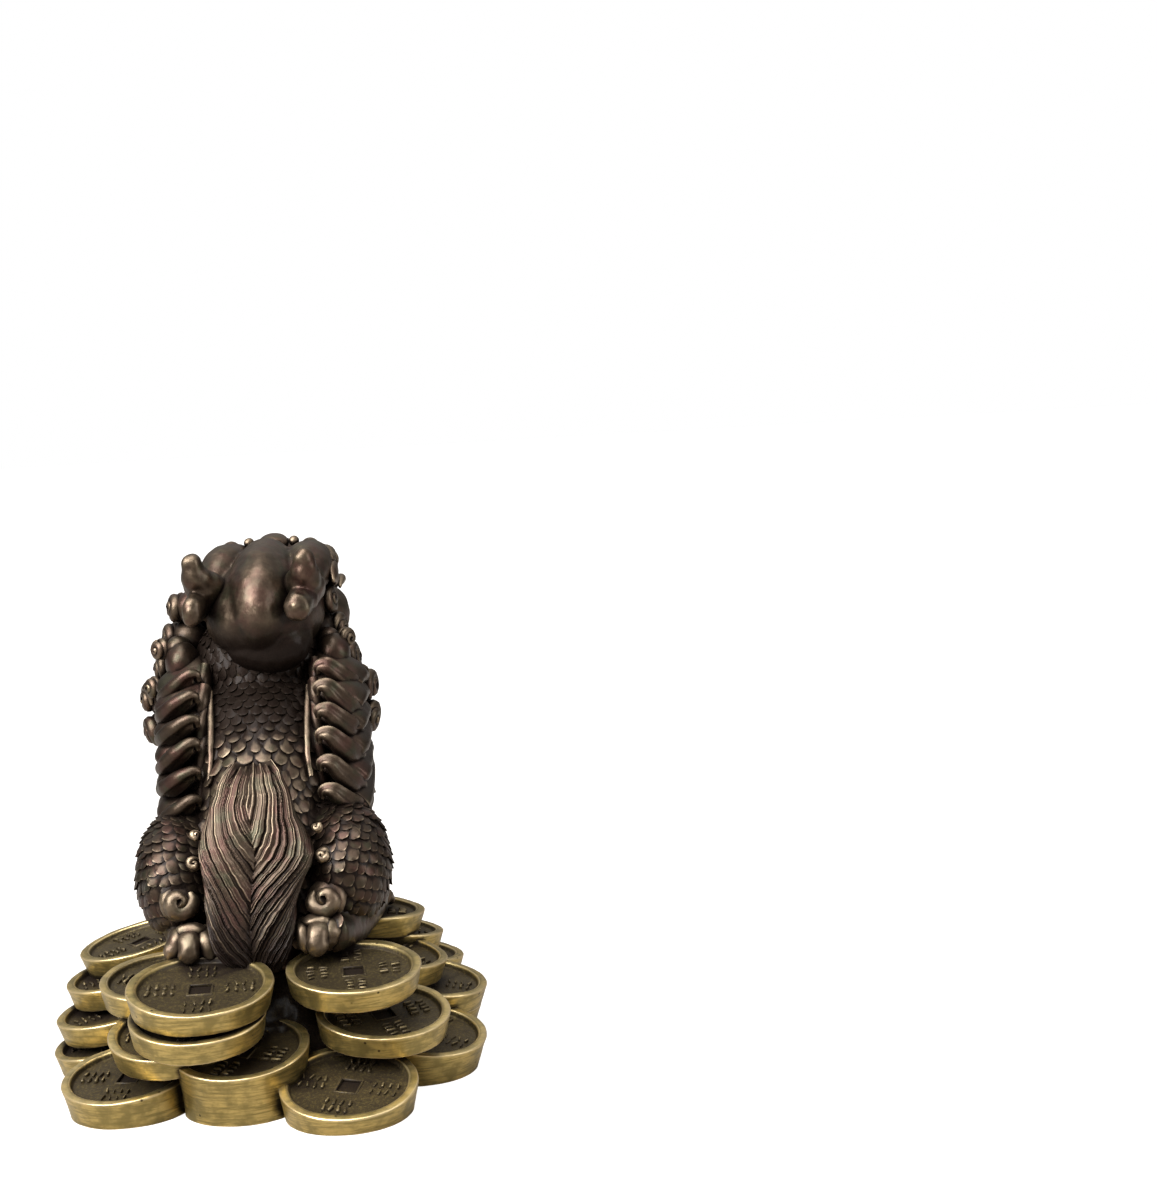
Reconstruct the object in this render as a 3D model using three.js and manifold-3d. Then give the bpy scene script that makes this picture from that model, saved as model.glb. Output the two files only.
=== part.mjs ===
// A qilin seated on a bed of old coins: a small ornament cast in one piece of
// bronze-coloured resin. Millimetres, +Z up, the beast faces -Y and the underside
// of the coin bed lies on Z = 0 with the origin in its middle.

import * as THREE from "three";
import { mergeVertices } from "three/addons/utils/BufferGeometryUtils.js";
import Module from "manifold-3d";

const wasm = await Module();
wasm.setup();

// Driving sizes of the ornament
const SEAT = 16; // height of the topmost coins, which the beast sits on
const BACK_TOP = 51; // height of the shoulders
const HEAD = [-1.4, -3.5, 60.6]; // middle of the skull
const HEAD_TURN = -10; // degrees, the face turned a little to the beast's right
const MANE_SHIFT = 0.6; // the mane hangs this far to the beast's left
const WING_SHIFT = -0.4; // and the wings this far to its right
const MIDDLE = [0.715, 0.085]; // middle of the bed, measured from the middle of the beast
const COIN_RADIUS = 8.5;
const COIN_THICKNESS = 3;
const RIM_WIDTH = 1.15; // raised border of a coin
const FIELD_DEPTH = 0.7; // the coin's face lies this far below its border
const COIN_SIDES = 14;
const HOLE_FRAME = 2.3; // half width of the raised square round a coin's hole
const HOLE = 1.45; // half width of the square hole
const GROUND_CUT = 30; // depth of the block that cuts the underside flat
const WELD = 2e-3; // corners closer than this are one
const MOST_FACES = 9800;
const LEAST_TURN = 0.3; // cosine of the most a face may turn when faces are merged
const BRONZE = 0x4a3826;

// Shorthands
const deg = THREE.MathUtils.degToRad;
const vec = (p) => new THREE.Vector3(...p);

// A closed geometry becomes a solid, with its faces turned outwards.
function solid(geometry) {
  const bare = geometry.clone();
  bare.deleteAttribute("normal");
  bare.deleteAttribute("uv");
  const merged = mergeVertices(bare, 1e-4);
  return new wasm.Manifold(
    new wasm.Mesh({
      numProp: 3,
      vertProperties: merged.attributes.position.array,
      triVerts: new Uint32Array(merged.index.array),
    }),
  );
}

// Joins a list of solids into one.
function join(solids) {
  return solids.reduce((whole, piece) => whole.add(piece));
}

// The same shape on the beast's left and right.
function pair(make) {
  return [make(1), make(-1)];
}

// An ellipsoid, tipped about X and then turned about Z.
function ball([x, y, z], [rx, ry, rz], { tip = 0, turn = 0, sides = 10, rings = 7 } = {}) {
  const g = new THREE.SphereGeometry(1, sides, rings);
  g.rotateX(Math.PI / 2);
  g.scale(rx, ry, rz);
  g.rotateX(deg(tip));
  g.rotateZ(deg(turn));
  g.translate(x, y, z);
  return solid(g);
}

// A closed skin over rings of points, with a point to close each end.
function skin(rings, first, last) {
  const sides = rings[0].length;
  const points = [...rings.flat(), first, last];
  const index = [];
  for (let r = 0; r < rings.length - 1; r++) {
    for (let s = 0; s < sides; s++) {
      const a = r * sides + s;
      const b = r * sides + ((s + 1) % sides);
      index.push(a, b, a + sides, b, b + sides, a + sides);
    }
  }
  const low = rings.length * sides;
  const lastRing = low - sides;
  for (let s = 0; s < sides; s++) {
    const t = (s + 1) % sides;
    index.push(low, t, s, low + 1, lastRing + s, lastRing + t);
  }
  const g = new THREE.BufferGeometry().setFromPoints(points);
  g.setIndex(index);
  return solid(g);
}

// An oval section swept along a smooth spine. Each size is [half width, half height];
// the width lies along `across`, and the ends are rounded off.
function sweep(spine, sizes, across, { sides = 8, steps = 7 } = {}) {
  const curve = new THREE.CatmullRomCurve3(spine.map(vec));
  const lerp = THREE.MathUtils.lerp;
  const rings = [];
  for (let i = 0; i <= steps; i++) {
    const t = i / steps;
    const at = t * (sizes.length - 1);
    const k = Math.min(Math.floor(at), sizes.length - 2);
    const half = [0, 1].map((c) => lerp(sizes[k][c], sizes[k + 1][c], at - k));
    const centre = curve.getPoint(t);
    const along = curve.getTangent(t);
    const up = along.clone().cross(vec(across)).normalize();
    const wide = up.clone().cross(along).normalize();
    rings.push(
      Array.from({ length: sides }, (_, s) => {
        const a = (2 * Math.PI * s) / sides;
        return centre
          .clone()
          .addScaledVector(wide, half[0] * Math.cos(a))
          .addScaledVector(up, half[1] * Math.sin(a));
      }),
    );
  }
  const cap = (t, way, size) =>
    curve.getPoint(t).addScaledVector(curve.getTangent(t), way * Math.min(...size) * 0.5);
  const made = skin(rings, cap(0, -1, sizes[0]), cap(1, 1, sizes.at(-1)));
  return made;
}

// Coins

// One coin about its own axis, its border's top at z = 0.
function coin(radius, thickness, sides = COIN_SIDES) {
  const inner = radius - RIM_WIDTH;
  const profile = [
    [0, -thickness],
    [radius, -thickness],
    [radius, 0],
    [inner, 0],
    [inner - 0.2, -FIELD_DEPTH],
    [0, -FIELD_DEPTH],
  ].map(([r, h]) => new THREE.Vector2(r, h));
  const g = new THREE.LatheGeometry(profile, sides);
  g.rotateX(Math.PI / 2);
  return g;
}

// The raised square round the coin's hole.
function holeFrame() {
  const square = (half, Kind) => {
    const path = new Kind();
    path.moveTo(-half, -half);
    path.lineTo(half, -half);
    path.lineTo(half, half);
    path.lineTo(-half, half);
    path.closePath();
    return path;
  };
  const frame = square(HOLE_FRAME, THREE.Shape);
  frame.holes.push(square(HOLE, THREE.Path));
  const g = new THREE.ExtrudeGeometry(frame, { depth: FIELD_DEPTH * 1.3, bevelEnabled: false });
  g.translate(0, 0, -FIELD_DEPTH * 1.7);
  return g;
}

// A coin in the pile: its middle, how far it leans, the compass angle it leans to, and,
// where it differs, its radius and thickness.
function laidCoin({ at, lean, to, radius = COIN_RADIUS, thickness = COIN_THICKNESS, hole = false }) {
  const axis = new THREE.Vector3(-Math.sin(deg(to)), Math.cos(deg(to)), 0);
  const lay = (g) => {
    g.rotateZ(deg(to));
    g.applyQuaternion(new THREE.Quaternion().setFromAxisAngle(axis, deg(lean)));
    g.translate(...at);
    return solid(g);
  };
  const disc = lay(coin(radius, thickness));
  return hole ? disc.add(lay(holeFrame())) : disc;
}

// Bottom row first, then the coins laid on it, up to those under the beast.
const COINS = [
  { at: [17.2, 24.3, 4.8], lean: 9, to: 70, thickness: 5, hole: true },
  { at: [2.7, 27.6, 8.0], lean: 11, to: 86, thickness: 8 },
  { at: [-10.5, 32.6, 4.2], lean: 14, to: 95, thickness: 5, hole: true },
  { at: [-19.6, 17.2, 5.5], lean: 12, to: 140, thickness: 5, hole: true },
  { at: [-20.2, 3.4, 8.6], lean: 11, to: 165 },
  { at: [-19.2, -0.5, 4.6], lean: 9, to: 180, thickness: 5 },
  { at: [-16.4, -14.0, 5.2], lean: 11, to: 212, thickness: 5, hole: true },
  { at: [-10.4, -27.0, 4.6], lean: 12, to: 240, thickness: 5, hole: true },
  { at: [0.6, -32.5, 4.6], lean: 12, to: 270, thickness: 5, hole: true },
  { at: [11.8, -26.6, 4.8], lean: 12, to: 300, thickness: 5, hole: true },
  { at: [18.0, -15.0, 5.0], lean: 11, to: 330, thickness: 5, hole: true },
  { at: [21.6, 5.5, 4.3], lean: 10, to: 12, thickness: 5 },
  { at: [21.5, 3.0, 7.7], lean: 9, to: 14 },
  { at: [20.9, -2.0, 11.2], lean: 10, to: 14 },
  { at: [11.0, 24.1, 10.1], lean: 12, to: 76 },
  { at: [-14.9, 23.5, 10.2], lean: 10, to: 112 },
  { at: [-17.2, -10.0, 9.2], lean: 10, to: 200 },
  { at: [-7.0, -22.0, 9.2], lean: 12, to: 250 },
  { at: [6.2, -22.8, 9.4], lean: 12, to: 290 },
  { at: [14.4, -15.6, 9.6], lean: 12, to: 318 },
  { at: [-15.0, 3.5, 12.7], lean: 11, to: 173 },
  { at: [-14.6, -9.4, 13.0], lean: 10, to: 205 },
  { at: [19.8, -7.6, 14.2], lean: 11, to: 18, hole: true },
  { at: [13.2, 14.6, 14.4], lean: 7, to: 80 },
  { at: [7.5, 29.4, 13.1], lean: 10, to: 98, radius: 8.5 },
  { at: [7.0, 29.0, 16.6], lean: 10, to: 100, radius: 9 },
  { at: [-11.5, 23.4, 16.0], lean: 8, to: 104 },
  { at: [-12.0, -6.8, 16.6], lean: 8, to: 190 },
  { at: [9.8, -13.0, 15.0], lean: 9, to: 318 },
  { at: [-0.8, -17.6, 14.6], lean: 11, to: 268 },
];

// The mound of resin that fills the bed between and under the coins.
function mound() {
  const levels = [
    [-1, 20, 30],
    [4, 19.5, 29.5],
    [8, 16, 25.5],
    [12, 13.5, 22],
    [SEAT - 0.6, 9.5, 17],
  ];
  const sides = 14;
  const rings = levels.map(([z, rx, ry]) =>
    Array.from({ length: sides }, (_, s) => {
      const a = (2 * Math.PI * s) / sides;
      return vec([rx * Math.cos(a), 1.5 + ry * Math.sin(a), z]);
    }),
  );
  return skin(rings, vec([0, 1.5, -1]), vec([0, 1.5, SEAT - 0.4]));
}

// Body

// The trunk, as ovals from the seat to the shoulders: [height, middle y, half width, half depth].
function trunk() {
  const levels = [
    [SEAT - 2, 4, 10.5, 14],
    [21, 4.2, 11.2, 14.4],
    [27, 3.6, 11.2, 14.2],
    [33, 2.8, 10.6, 13.8],
    [38.5, 1.6, 10.4, 13.8],
    [43.5, -0.6, 10.4, 12.8],
    [47.5, -2.6, 9.8, 10.8],
    [BACK_TOP, -4, 8, 8],
  ];
  const sides = 12;
  const rings = levels.map(([z, y, rx, ry]) =>
    Array.from({ length: sides }, (_, s) => {
      const a = (2 * Math.PI * s) / sides;
      return vec([rx * Math.cos(a), y + ry * Math.sin(a), z]);
    }),
  );
  return skin(rings, vec([0, 4, SEAT - 2]), vec([0, -4.5, BACK_TOP + 2]));
}

// Ribs of the chest plate, between the forelegs.
function chestRibs() {
  const ribs = 5;
  return Array.from({ length: ribs }, (_, i) => {
    const down = i / (ribs - 1);
    return ball([0, -11.4 + down * 0.8, 44 - down * 18], [6.4, 3.4, 2.1], { sides: 7, rings: 4 });
  });
}

// A haunch with its bent knee, the hind paw and the two knobs of fur at the heel.
function hindLeg(side) {
  const toes = [-2.1, 0, 2.1].map((x) =>
    ball([side * 13 + x, -9.6, 17.6], [1.35, 2.2, 1.6], { sides: 5, rings: 3 }),
  );
  return join([
    ball([side * 10.4 + 0.1, 9, 26], [6.5, 10.2, 9], { tip: 12, sides: 14, rings: 9 }),
    ball([side * 11.6, -0.6, 22.8], [4.1, 6.6, 5.4], { tip: -18, sides: 8, rings: 5 }),
    ball([side * 12.8, -5.6, 18.4], [3.3, 5.4, 2.8], { sides: 7, rings: 4 }),
    ball([side * 8.9, 19.2, 24.4], [2.7, 2.7, 3.2], { sides: 7, rings: 5 }),
    ball([side * 9.2, 20.4, 19.6], [2.8, 2.8, 3.1], { sides: 7, rings: 5 }),
    ...toes,
  ]);
}

// A foreleg, upright in front of the chest.
function foreLeg(side) {
  const toes = [-2.3, 0, 2.3].map((x) =>
    ball([side * 8.6 + x, -21.3, SEAT + 0.9], [1.5, 2.5, 1.9], { sides: 5, rings: 3 }),
  );
  const leg = sweep(
    [
      [side * 9, -3.5, 42],
      [side * 10.2, -7.5, 35],
      [side * 9.6, -13.4, 27],
      [side * 8.8, -16.4, 19],
      [side * 8.6, -17.4, SEAT - 1],
    ],
    [
      [4.6, 5.6],
      [4.4, 5.2],
      [3.4, 3.9],
      [3.1, 3.3],
      [3.8, 3.9],
    ],
    [1, 0, 0],
    { sides: 8, steps: 5 },
  );
  return join([leg, ball([side * 8.6, -18.6, SEAT + 1.4], [4.1, 4.4, 2.9], { sides: 8, rings: 5 }), ...toes]);
}

// One wing: feathers lie along the flank, one over the other, and their ends roll
// towards the spine.
function wing(side) {
  const feathers = 6;
  const slope = [side * Math.cos(deg(28)), 0, -Math.sin(deg(28))];
  return join(
    Array.from({ length: feathers }, (_, i) => {
      const down = i / (feathers - 1);
      const end = THREE.MathUtils.lerp(50.2, 34.6, down);
      const root = THREE.MathUtils.lerp(48.5, 39.5, down);
      const reach = THREE.MathUtils.lerp(4.6, 11.4, Math.sqrt(down));
      return sweep(
        [
          [side * 10 + WING_SHIFT, -10.5, root],
          [side * 11.2 + WING_SHIFT, -4, (root + end) / 2 + 0.8],
          [side * 10.6 + WING_SHIFT, reach - 4, end],
          [side * 10 + WING_SHIFT, reach, end + 0.4],
        ],
        [
          [2.4, 1.2],
          [3.4, 2],
          [4, 2.2],
          [3.3, 1.5],
        ],
        slope,
        { sides: 6, steps: 4 },
      );
    }),
  );
}

// The tail lies up the rump like a flame: locks run down it from its root.
// Each level is [height, middle x and y, half width, half depth].
function tail() {
  const levels = [
    [15.6, 0.6, 21, 3, 1.4],
    [18, 0.9, 21.1, 4.4, 2.2],
    [22, 1, 20.4, 5.4, 2.8],
    [26, 0.6, 19.4, 5.9, 3.1],
    [30, 0, 18.4, 7, 3.3],
    [33.5, 0.3, 17.5, 6.3, 3.2],
    [37, 0.5, 16.4, 4.8, 2.8],
    [41, 0.3, 14.4, 2.8, 1.6],
  ];
  const sides = 18;
  const locks = 4.5;
  const rings = levels.map(([z, x, y, rx, ry]) =>
    Array.from({ length: sides }, (_, s) => {
      const a = (2 * Math.PI * s) / sides;
      const groove = 1 - 0.12 * Math.abs(Math.sin(a * locks));
      return vec([x + rx * groove * Math.cos(a), y + ry * groove * Math.sin(a), z]);
    }),
  );
  return skin(rings, vec([0.6, 21, 15.2]), vec([0.3, 13.8, 41.6]));
}

// Head

// A place measured from the middle of the skull, in the turned head.
const inHead = (at) =>
  vec(at).applyAxisAngle(new THREE.Vector3(0, 0, 1), deg(HEAD_TURN)).add(vec(HEAD)).toArray();

const headBall = (at, radii, { turn = 0, ...rest } = {}) =>
  ball(inHead(at), radii, { turn: turn + HEAD_TURN, ...rest });

// The skull: its dome between two swept-back lobes, a crown of bumps before them, brow,
// muzzle, jaws, nose and eyes.
function skull() {
  return join([
    headBall([0, 0.4, -1], [8.4, 10.8, 7.6], { tip: -10, sides: 16, rings: 10 }),
    headBall([0, 1.2, 0.2], [5.2, 11.2, 8.4], { tip: -10, sides: 12, rings: 10 }),
    ...pair((side) => headBall([side * 5.4, -1.2, 1.2], [3.8, 9.2, 6.8], { tip: -8, turn: side * 4, sides: 10, rings: 8 })),
    headBall([0, -13, 0.6], [6.2, 8.4, 4.2], { tip: -14, sides: 10, rings: 6 }),
    headBall([0, -10.6, -6], [5.6, 8, 2.8], { tip: 10, sides: 9, rings: 5 }),
    headBall([0, -19.6, 4.2], [3.6, 2.6, 2.2], { sides: 8, rings: 5 }),
    headBall([-0.4, -4.5, 7.6], [2.1, 2.6, 1.4], { tip: -6, sides: 6, rings: 5 }),
    ...pair((side) => headBall([side * 5.6, -4.2, 6.9], [1.4, 1.6, 1.4], { sides: 6, rings: 4 })),
    ...pair((side) => headBall([side * 5, -9.6, 5], [2.5, 2.6, 2.5], { sides: 8, rings: 6 })),
    ...pair((side) =>
      sweep(
        [
          inHead([side * 2.4, -12.6, 5.8]),
          inHead([side * 5.4, -11, 6.8]),
          inHead([side * 8, -7, 5]),
        ],
        [
          [0.9, 0.9],
          [1.3, 1.2],
          [0.7, 0.7],
        ],
        [0, 0, 1],
        { sides: 5, steps: 3 },
      ),
    ),
  ]);
}

// An antler: the beam runs back along the skull to a blunt knob, with one upright tine.
function antler(side) {
  const beam = sweep(
    [
      inHead([side * 5.4, -6, 4.8]),
      inHead([side * 7, -1, 3.4]),
      inHead([side * 7.1, 5, 1.6]),
      inHead([side * 7.1, 11.2, 0.1]),
    ],
    [
      [1.4, 1.4],
      [1.9, 1.9],
      [2.1, 2.2],
      [1.8, 2.2],
    ],
    [1, 0, 0],
    { sides: 7, steps: 4 },
  );
  const tine = sweep(
    [inHead([side * 7, 5, 2.2]), inHead([side * 7.4, 8.4, 4.2]), inHead([side * 7.5, 10.2, 6.6])],
    [
      [2.6, 2.4],
      [2, 1.9],
      [1.15, 1.15],
    ],
    [1, 0, 0],
    { sides: 7, steps: 3 },
  );
  return beam.add(tine);
}

// Curls of the mane, down both cheeks to the shoulders and under the chin.
// Each is [out from the middle, y, height, radius].
function mane() {
  const curls = [
    [9.8, -4.6, 60.4, 2.6],
    [10.8, -5.8, 56.2, 2.7],
    [12.3, -6.8, 51.9, 2.8],
    [14.3, -7.2, 47.8, 3],
    [14.2, -7.2, 43.4, 3],
    [9.6, -9.6, 57.4, 2.7],
    [10.6, -11.2, 52.8, 2.9],
    [11.4, -11.8, 48.2, 3],
    [12, -11.4, 43.6, 2.8],
    [7.2, -13.6, 50.2, 2.9],
    [7.6, -13.6, 45.2, 2.8],
    [2.8, -15, 47.6, 2.7],
  ];
  return curls.flatMap(([x, y, z, r]) =>
    pair((side) => ball([side * x + MANE_SHIFT, y, z], [r * 0.95, r, r * 1.05], { sides: 7, rings: 5 })),
  );
}

// The neck carries the head from the shoulders.
function neck() {
  return ball([0, -5, 52.5], [9.6, 9.6, 8], { sides: 12, rings: 6 });
}

// The whole casting, cut flat where it stands.
function ornament() {
  const beast = join([
    trunk(),
    neck(),
    skull(),
    tail(),
    ...chestRibs(),
    ...pair(hindLeg),
    ...pair(foreLeg),
    ...pair(wing),
    ...pair(antler),
    ...mane(),
  ]);
  const bed = join([mound(), ...COINS.map(laidCoin)]);
  const below = new THREE.BoxGeometry(200, 200, GROUND_CUT);
  below.translate(0, 0, -GROUND_CUT / 2);
  return bed.add(beast).subtract(solid(below));
}

// The outermost skin of a solid: the corners, and the faces that hold three of them.
// The casting is solid, so any skin closed inside it is left off.
function outerSkin(made) {
  const mesh = made.getMesh();
  const loose = new THREE.BufferGeometry();
  loose.setAttribute("position", new THREE.BufferAttribute(new Float32Array(mesh.vertProperties), 3));
  loose.setIndex(new THREE.BufferAttribute(new Uint32Array(mesh.triVerts), 1));
  const g = mergeVertices(loose, WELD);
  const count = g.attributes.position.count;
  const corners = Array.from({ length: count }, (_, i) =>
    new THREE.Vector3().fromBufferAttribute(g.attributes.position, i),
  );
  const faces = [];
  for (let f = 0; f < g.index.count; f += 3) {
    const face = [0, 1, 2].map((k) => g.index.getX(f + k));
    if (new Set(face).size === 3) faces.push(face);
  }
  const leader = corners.map((_, i) => i);
  const lead = (i) => {
    while (leader[i] !== i) i = leader[i] = leader[leader[i]];
    return i;
  };
  for (const [a, b, c] of faces) {
    leader[lead(a)] = lead(b);
    leader[lead(b)] = lead(c);
  }
  const skins = new Map();
  for (const face of faces) {
    const key = lead(face[0]);
    if (!skins.has(key)) skins.set(key, []);
    skins.get(key).push(face);
  }
  const outer = [...skins.values()].reduce((a, b) => (b.length > a.length ? b : a));
  return { corners, faces: outer };
}

// Merges faces, the flattest first, until no more than `most` are left. A corner moves
// onto a neighbour only where that turns no face over and closes no edge twice.
function mergeFaces({ corners, faces }, most) {
  const around = corners.map(() => new Set());
  faces.forEach((face, f) => face.forEach((c) => around[c].add(f)));
  const normal = (face) =>
    new THREE.Triangle(...face.map((c) => corners[c])).getNormal(new THREE.Vector3());
  const normals = faces.map(normal);
  const neighbours = (c) => new Set([...around[c]].flatMap((f) => faces[f]).filter((n) => n !== c));
  const step = new THREE.Vector3();
  let left = faces.length;

  // How far the corner's faces would shift if it moved onto `to`; Infinity if it must not.
  const shift = (corner, to) => {
    step.subVectors(corners[to], corners[corner]);
    let most = 0;
    for (const f of around[corner]) most = Math.max(most, Math.abs(normals[f].dot(step)));
    return most;
  };
  const mayMove = (corner, to) => {
    const mine = neighbours(corner);
    const shared = [...neighbours(to)].filter((n) => mine.has(n));
    if (shared.length !== 2) return false;
    for (const f of around[corner]) {
      if (faces[f].includes(to)) continue;
      const moved = normal(faces[f].map((c) => (c === corner ? to : c)));
      if (moved.dot(normals[f]) < LEAST_TURN) return false;
    }
    return true;
  };
  const move = (corner, to) => {
    for (const f of [...around[corner]]) {
      if (faces[f].includes(to)) {
        faces[f].forEach((c) => around[c].delete(f));
        faces[f] = null;
        left -= 1;
      } else {
        faces[f] = faces[f].map((c) => (c === corner ? to : c));
        around[to].add(f);
        normals[f] = normal(faces[f]);
      }
    }
    around[corner].clear();
  };

  for (let reach = 0.002; left > most && reach < 1; reach *= 1.25) {
    for (let corner = 0; corner < corners.length && left > most; corner++) {
      if (!around[corner].size) continue;
      for (const to of neighbours(corner)) {
        if (shift(corner, to) > reach || !mayMove(corner, to)) continue;
        move(corner, to);
        break;
      }
    }
  }
  return { corners, faces: faces.filter(Boolean) };
}

// A skin as a geometry, with a flat normal to each face.
function geometryOf({ corners, faces }) {
  const g = new THREE.BufferGeometry().setFromPoints(faces.flat().map((c) => corners[c]));
  g.translate(-MIDDLE[0], -MIDDLE[1], 0);
  g.computeVertexNormals();
  return g;
}

const bronze = new THREE.MeshStandardMaterial({
  color: BRONZE,
  metalness: 0.8,
  roughness: 0.45,
  flatShading: true,
});

const figure = new THREE.Mesh(geometryOf(mergeFaces(outerSkin(ornament()), MOST_FACES)), bronze);
figure.name = "qilin_figure";

const group = new THREE.Group();
group.add(figure);

export default group;
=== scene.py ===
"""A small cast ornament: a scaled, winged qilin seated on a bed of old coins.

Every piece is modelled in millimetres about the middle of the beast, which faces -Y,
and is brought to metres and to the middle of the coin bed when it is finished.
"""

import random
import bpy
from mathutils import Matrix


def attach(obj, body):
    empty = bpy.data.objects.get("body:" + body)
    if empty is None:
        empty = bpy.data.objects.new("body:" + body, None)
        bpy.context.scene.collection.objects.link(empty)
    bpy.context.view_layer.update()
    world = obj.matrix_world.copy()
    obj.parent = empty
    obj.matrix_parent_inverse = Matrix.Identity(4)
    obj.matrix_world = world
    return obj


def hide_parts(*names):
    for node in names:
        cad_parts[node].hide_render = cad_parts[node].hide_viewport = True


bl_info = {
    "name": "Qilin on a bed of coins",
    "version": (1, 0, 0),
    "blender": (4, 5, 0),
    "location": "View3D > Sidebar > Qilin",
    "description": "Models a small cast ornament, a scaled beast seated on old coins",
    "category": "Object",
}

from math import cos, degrees, exp, pi, radians, sin, sqrt

import bpy
import numpy as np
from bpy.props import FloatProperty, FloatVectorProperty, IntProperty, PointerProperty
from mathutils import Euler, Matrix, Vector, noise
from mathutils.bvhtree import BVHTree

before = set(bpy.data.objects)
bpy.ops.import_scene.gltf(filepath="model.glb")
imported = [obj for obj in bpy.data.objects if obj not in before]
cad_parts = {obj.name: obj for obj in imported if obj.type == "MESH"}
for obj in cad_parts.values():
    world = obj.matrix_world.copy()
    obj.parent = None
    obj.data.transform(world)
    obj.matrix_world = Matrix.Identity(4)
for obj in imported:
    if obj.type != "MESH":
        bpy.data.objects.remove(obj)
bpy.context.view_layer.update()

# Fixed places, in millimetres
NODE = "qilin_figure"
MIDDLE = (0.715, 0.085)  # middle of the bed, measured from the middle of the beast
MANE_SHIFT = 0.6  # the mane hangs this far to the beast's left
WING_SHIFT = -0.4  # and the wings this far to its right
SEAT = 16.0  # height of the topmost coins
HEAD = Vector((-1.4, -3.5, 60.6))  # middle of the skull
HEAD_TURN = -10.0  # degrees, the face turned to the beast's right
SIDES = (1, -1)  # the beast's left and right

# How fine the fused skins are, in millimetres
BODY_GRAIN = 0.46
HEAD_GRAIN = 0.28
ANTLER_GRAIN = 0.2
BODY_SUNK = 0.45  # how far the body is drawn in to make room for its coat

# Camera: where it stands, which way it looks, and the picture it fills
EYE = (-25.3, 269.3, 81.0)
LOOK = (-0.0698, -0.9976)  # level direction of its view
PITCH = 4.68  # degrees down
ROLL = 3.21  # degrees, the picture turned anticlockwise
FOCAL_PIXELS = 1974.0
IMAGE_SIDE = 1193.0  # longer side of the picture, in pixels
SENSOR = 36.0

# Coins: middle of the rim, how far it leans, the compass angle it leans to, and the
# height of its wall. Bottom row first.
COINS = (
    ((17.2, 24.3, 4.8), 9, 70, 5),
    ((2.7, 27.6, 8.0), 11, 86, 8),
    ((-10.5, 32.6, 4.2), 14, 95, 5),
    ((-19.6, 17.2, 5.5), 12, 140, 5),
    ((-20.2, 3.4, 8.6), 11, 165, 3),
    ((-19.2, -0.5, 4.6), 9, 180, 5),
    ((-16.4, -14.0, 5.2), 11, 212, 5),
    ((-10.4, -27.0, 4.6), 12, 240, 5),
    ((0.6, -32.5, 4.6), 12, 270, 5),
    ((11.8, -26.6, 4.8), 12, 300, 5),
    ((18.0, -15.0, 5.0), 11, 330, 5),
    ((21.6, 5.5, 4.3), 10, 12, 5),
    ((21.5, 3.0, 7.7), 9, 14, 3),
    ((20.9, -2.0, 11.2), 10, 14, 3),
    ((11.0, 24.1, 10.1), 12, 76, 3),
    ((-14.9, 23.5, 10.2), 10, 112, 3),
    ((-17.2, -10.0, 9.2), 10, 200, 3),
    ((-7.0, -22.0, 9.2), 12, 250, 3),
    ((6.2, -22.8, 9.4), 12, 290, 3),
    ((14.4, -15.6, 9.6), 12, 318, 3),
    ((-15.0, 3.5, 12.7), 11, 173, 3),
    ((-14.6, -9.4, 13.0), 10, 205, 3),
    ((19.8, -7.6, 14.2), 11, 18, 3),
    ((13.2, 14.6, 14.4), 7, 80, 3),
    ((7.5, 29.4, 13.1), 10, 98, 3),
    ((7.0, 29.0, 16.6), 10, 100, 3),
    ((-11.5, 23.4, 16.0), 8, 104, 3),
    ((-12.0, -6.8, 16.6), 8, 190, 3),
    ((9.8, -13.0, 15.0), 9, 318, 3),
    ((-0.8, -17.6, 14.6), 11, 268, 3),
)
SINGLE = 3  # wall of a single coin; a taller one reaches down to the floor
TOP_COIN = 25  # the wide coin under the tail, in the list above
WIDE = 1.06  # how much wider it is
ALIKE = 3  # coins modelled for each height of wall, before they are copied
FIELD_SLOPE = 0.26  # width of the slope from border to field
FRAME_WIDTH = 0.35  # of the low frame round the square hole
STROKE_WIDTH = 0.3
BORDER_SHADE = 0.46  # painted shade: how far a border's top takes on the dark of the field, which counts as 1
MOUND_DARK_AND_SHADE = 1.5  # and how far the mound does, beyond any coin; what passes 1 is painted shade between the coins


# Getting about

def alone(thing=None):
    """Selects one object and nothing else, or nothing at all."""
    bpy.ops.object.select_all(action="DESELECT")
    if thing:
        thing.select_set(True)
        bpy.context.view_layer.objects.active = thing
    return thing


def placed(name, data):
    """A new object in the scene."""
    made = bpy.data.objects.new(name, data)
    bpy.context.scene.collection.objects.link(made)
    return made


def joined(things):
    """Joins objects into one; overlapping solids stay closed solids."""
    alone(things[0])
    for thing in things:
        thing.select_set(True)
    if len(things) > 1:
        bpy.ops.object.join()
    return things[0]


def modified(thing, kind, **settings):
    """Adds a modifier, sets it and applies it."""
    alone(thing)
    modifier = thing.modifiers.new(kind.title(), kind)
    for name, value in settings.items():
        setattr(modifier, name, value)
    bpy.ops.object.modifier_apply(modifier=modifier.name)
    return thing


def edited(thing, work, kind="FACE", chosen=None):
    """Works on one object in edit mode, with all of it selected, or only its chosen faces
    or edges."""
    alone(thing)
    bpy.ops.object.mode_set(mode="EDIT")
    bpy.ops.mesh.select_mode(type=kind)
    bpy.ops.mesh.select_all(action="SELECT" if chosen is None else "DESELECT")
    if chosen is not None:
        bpy.ops.object.mode_set(mode="OBJECT")
        items = thing.data.polygons if kind == "FACE" else thing.data.edges
        items.foreach_set("select", chosen)
        bpy.ops.object.mode_set(mode="EDIT")
    work()
    bpy.ops.object.mode_set(mode="OBJECT")
    return thing


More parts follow.
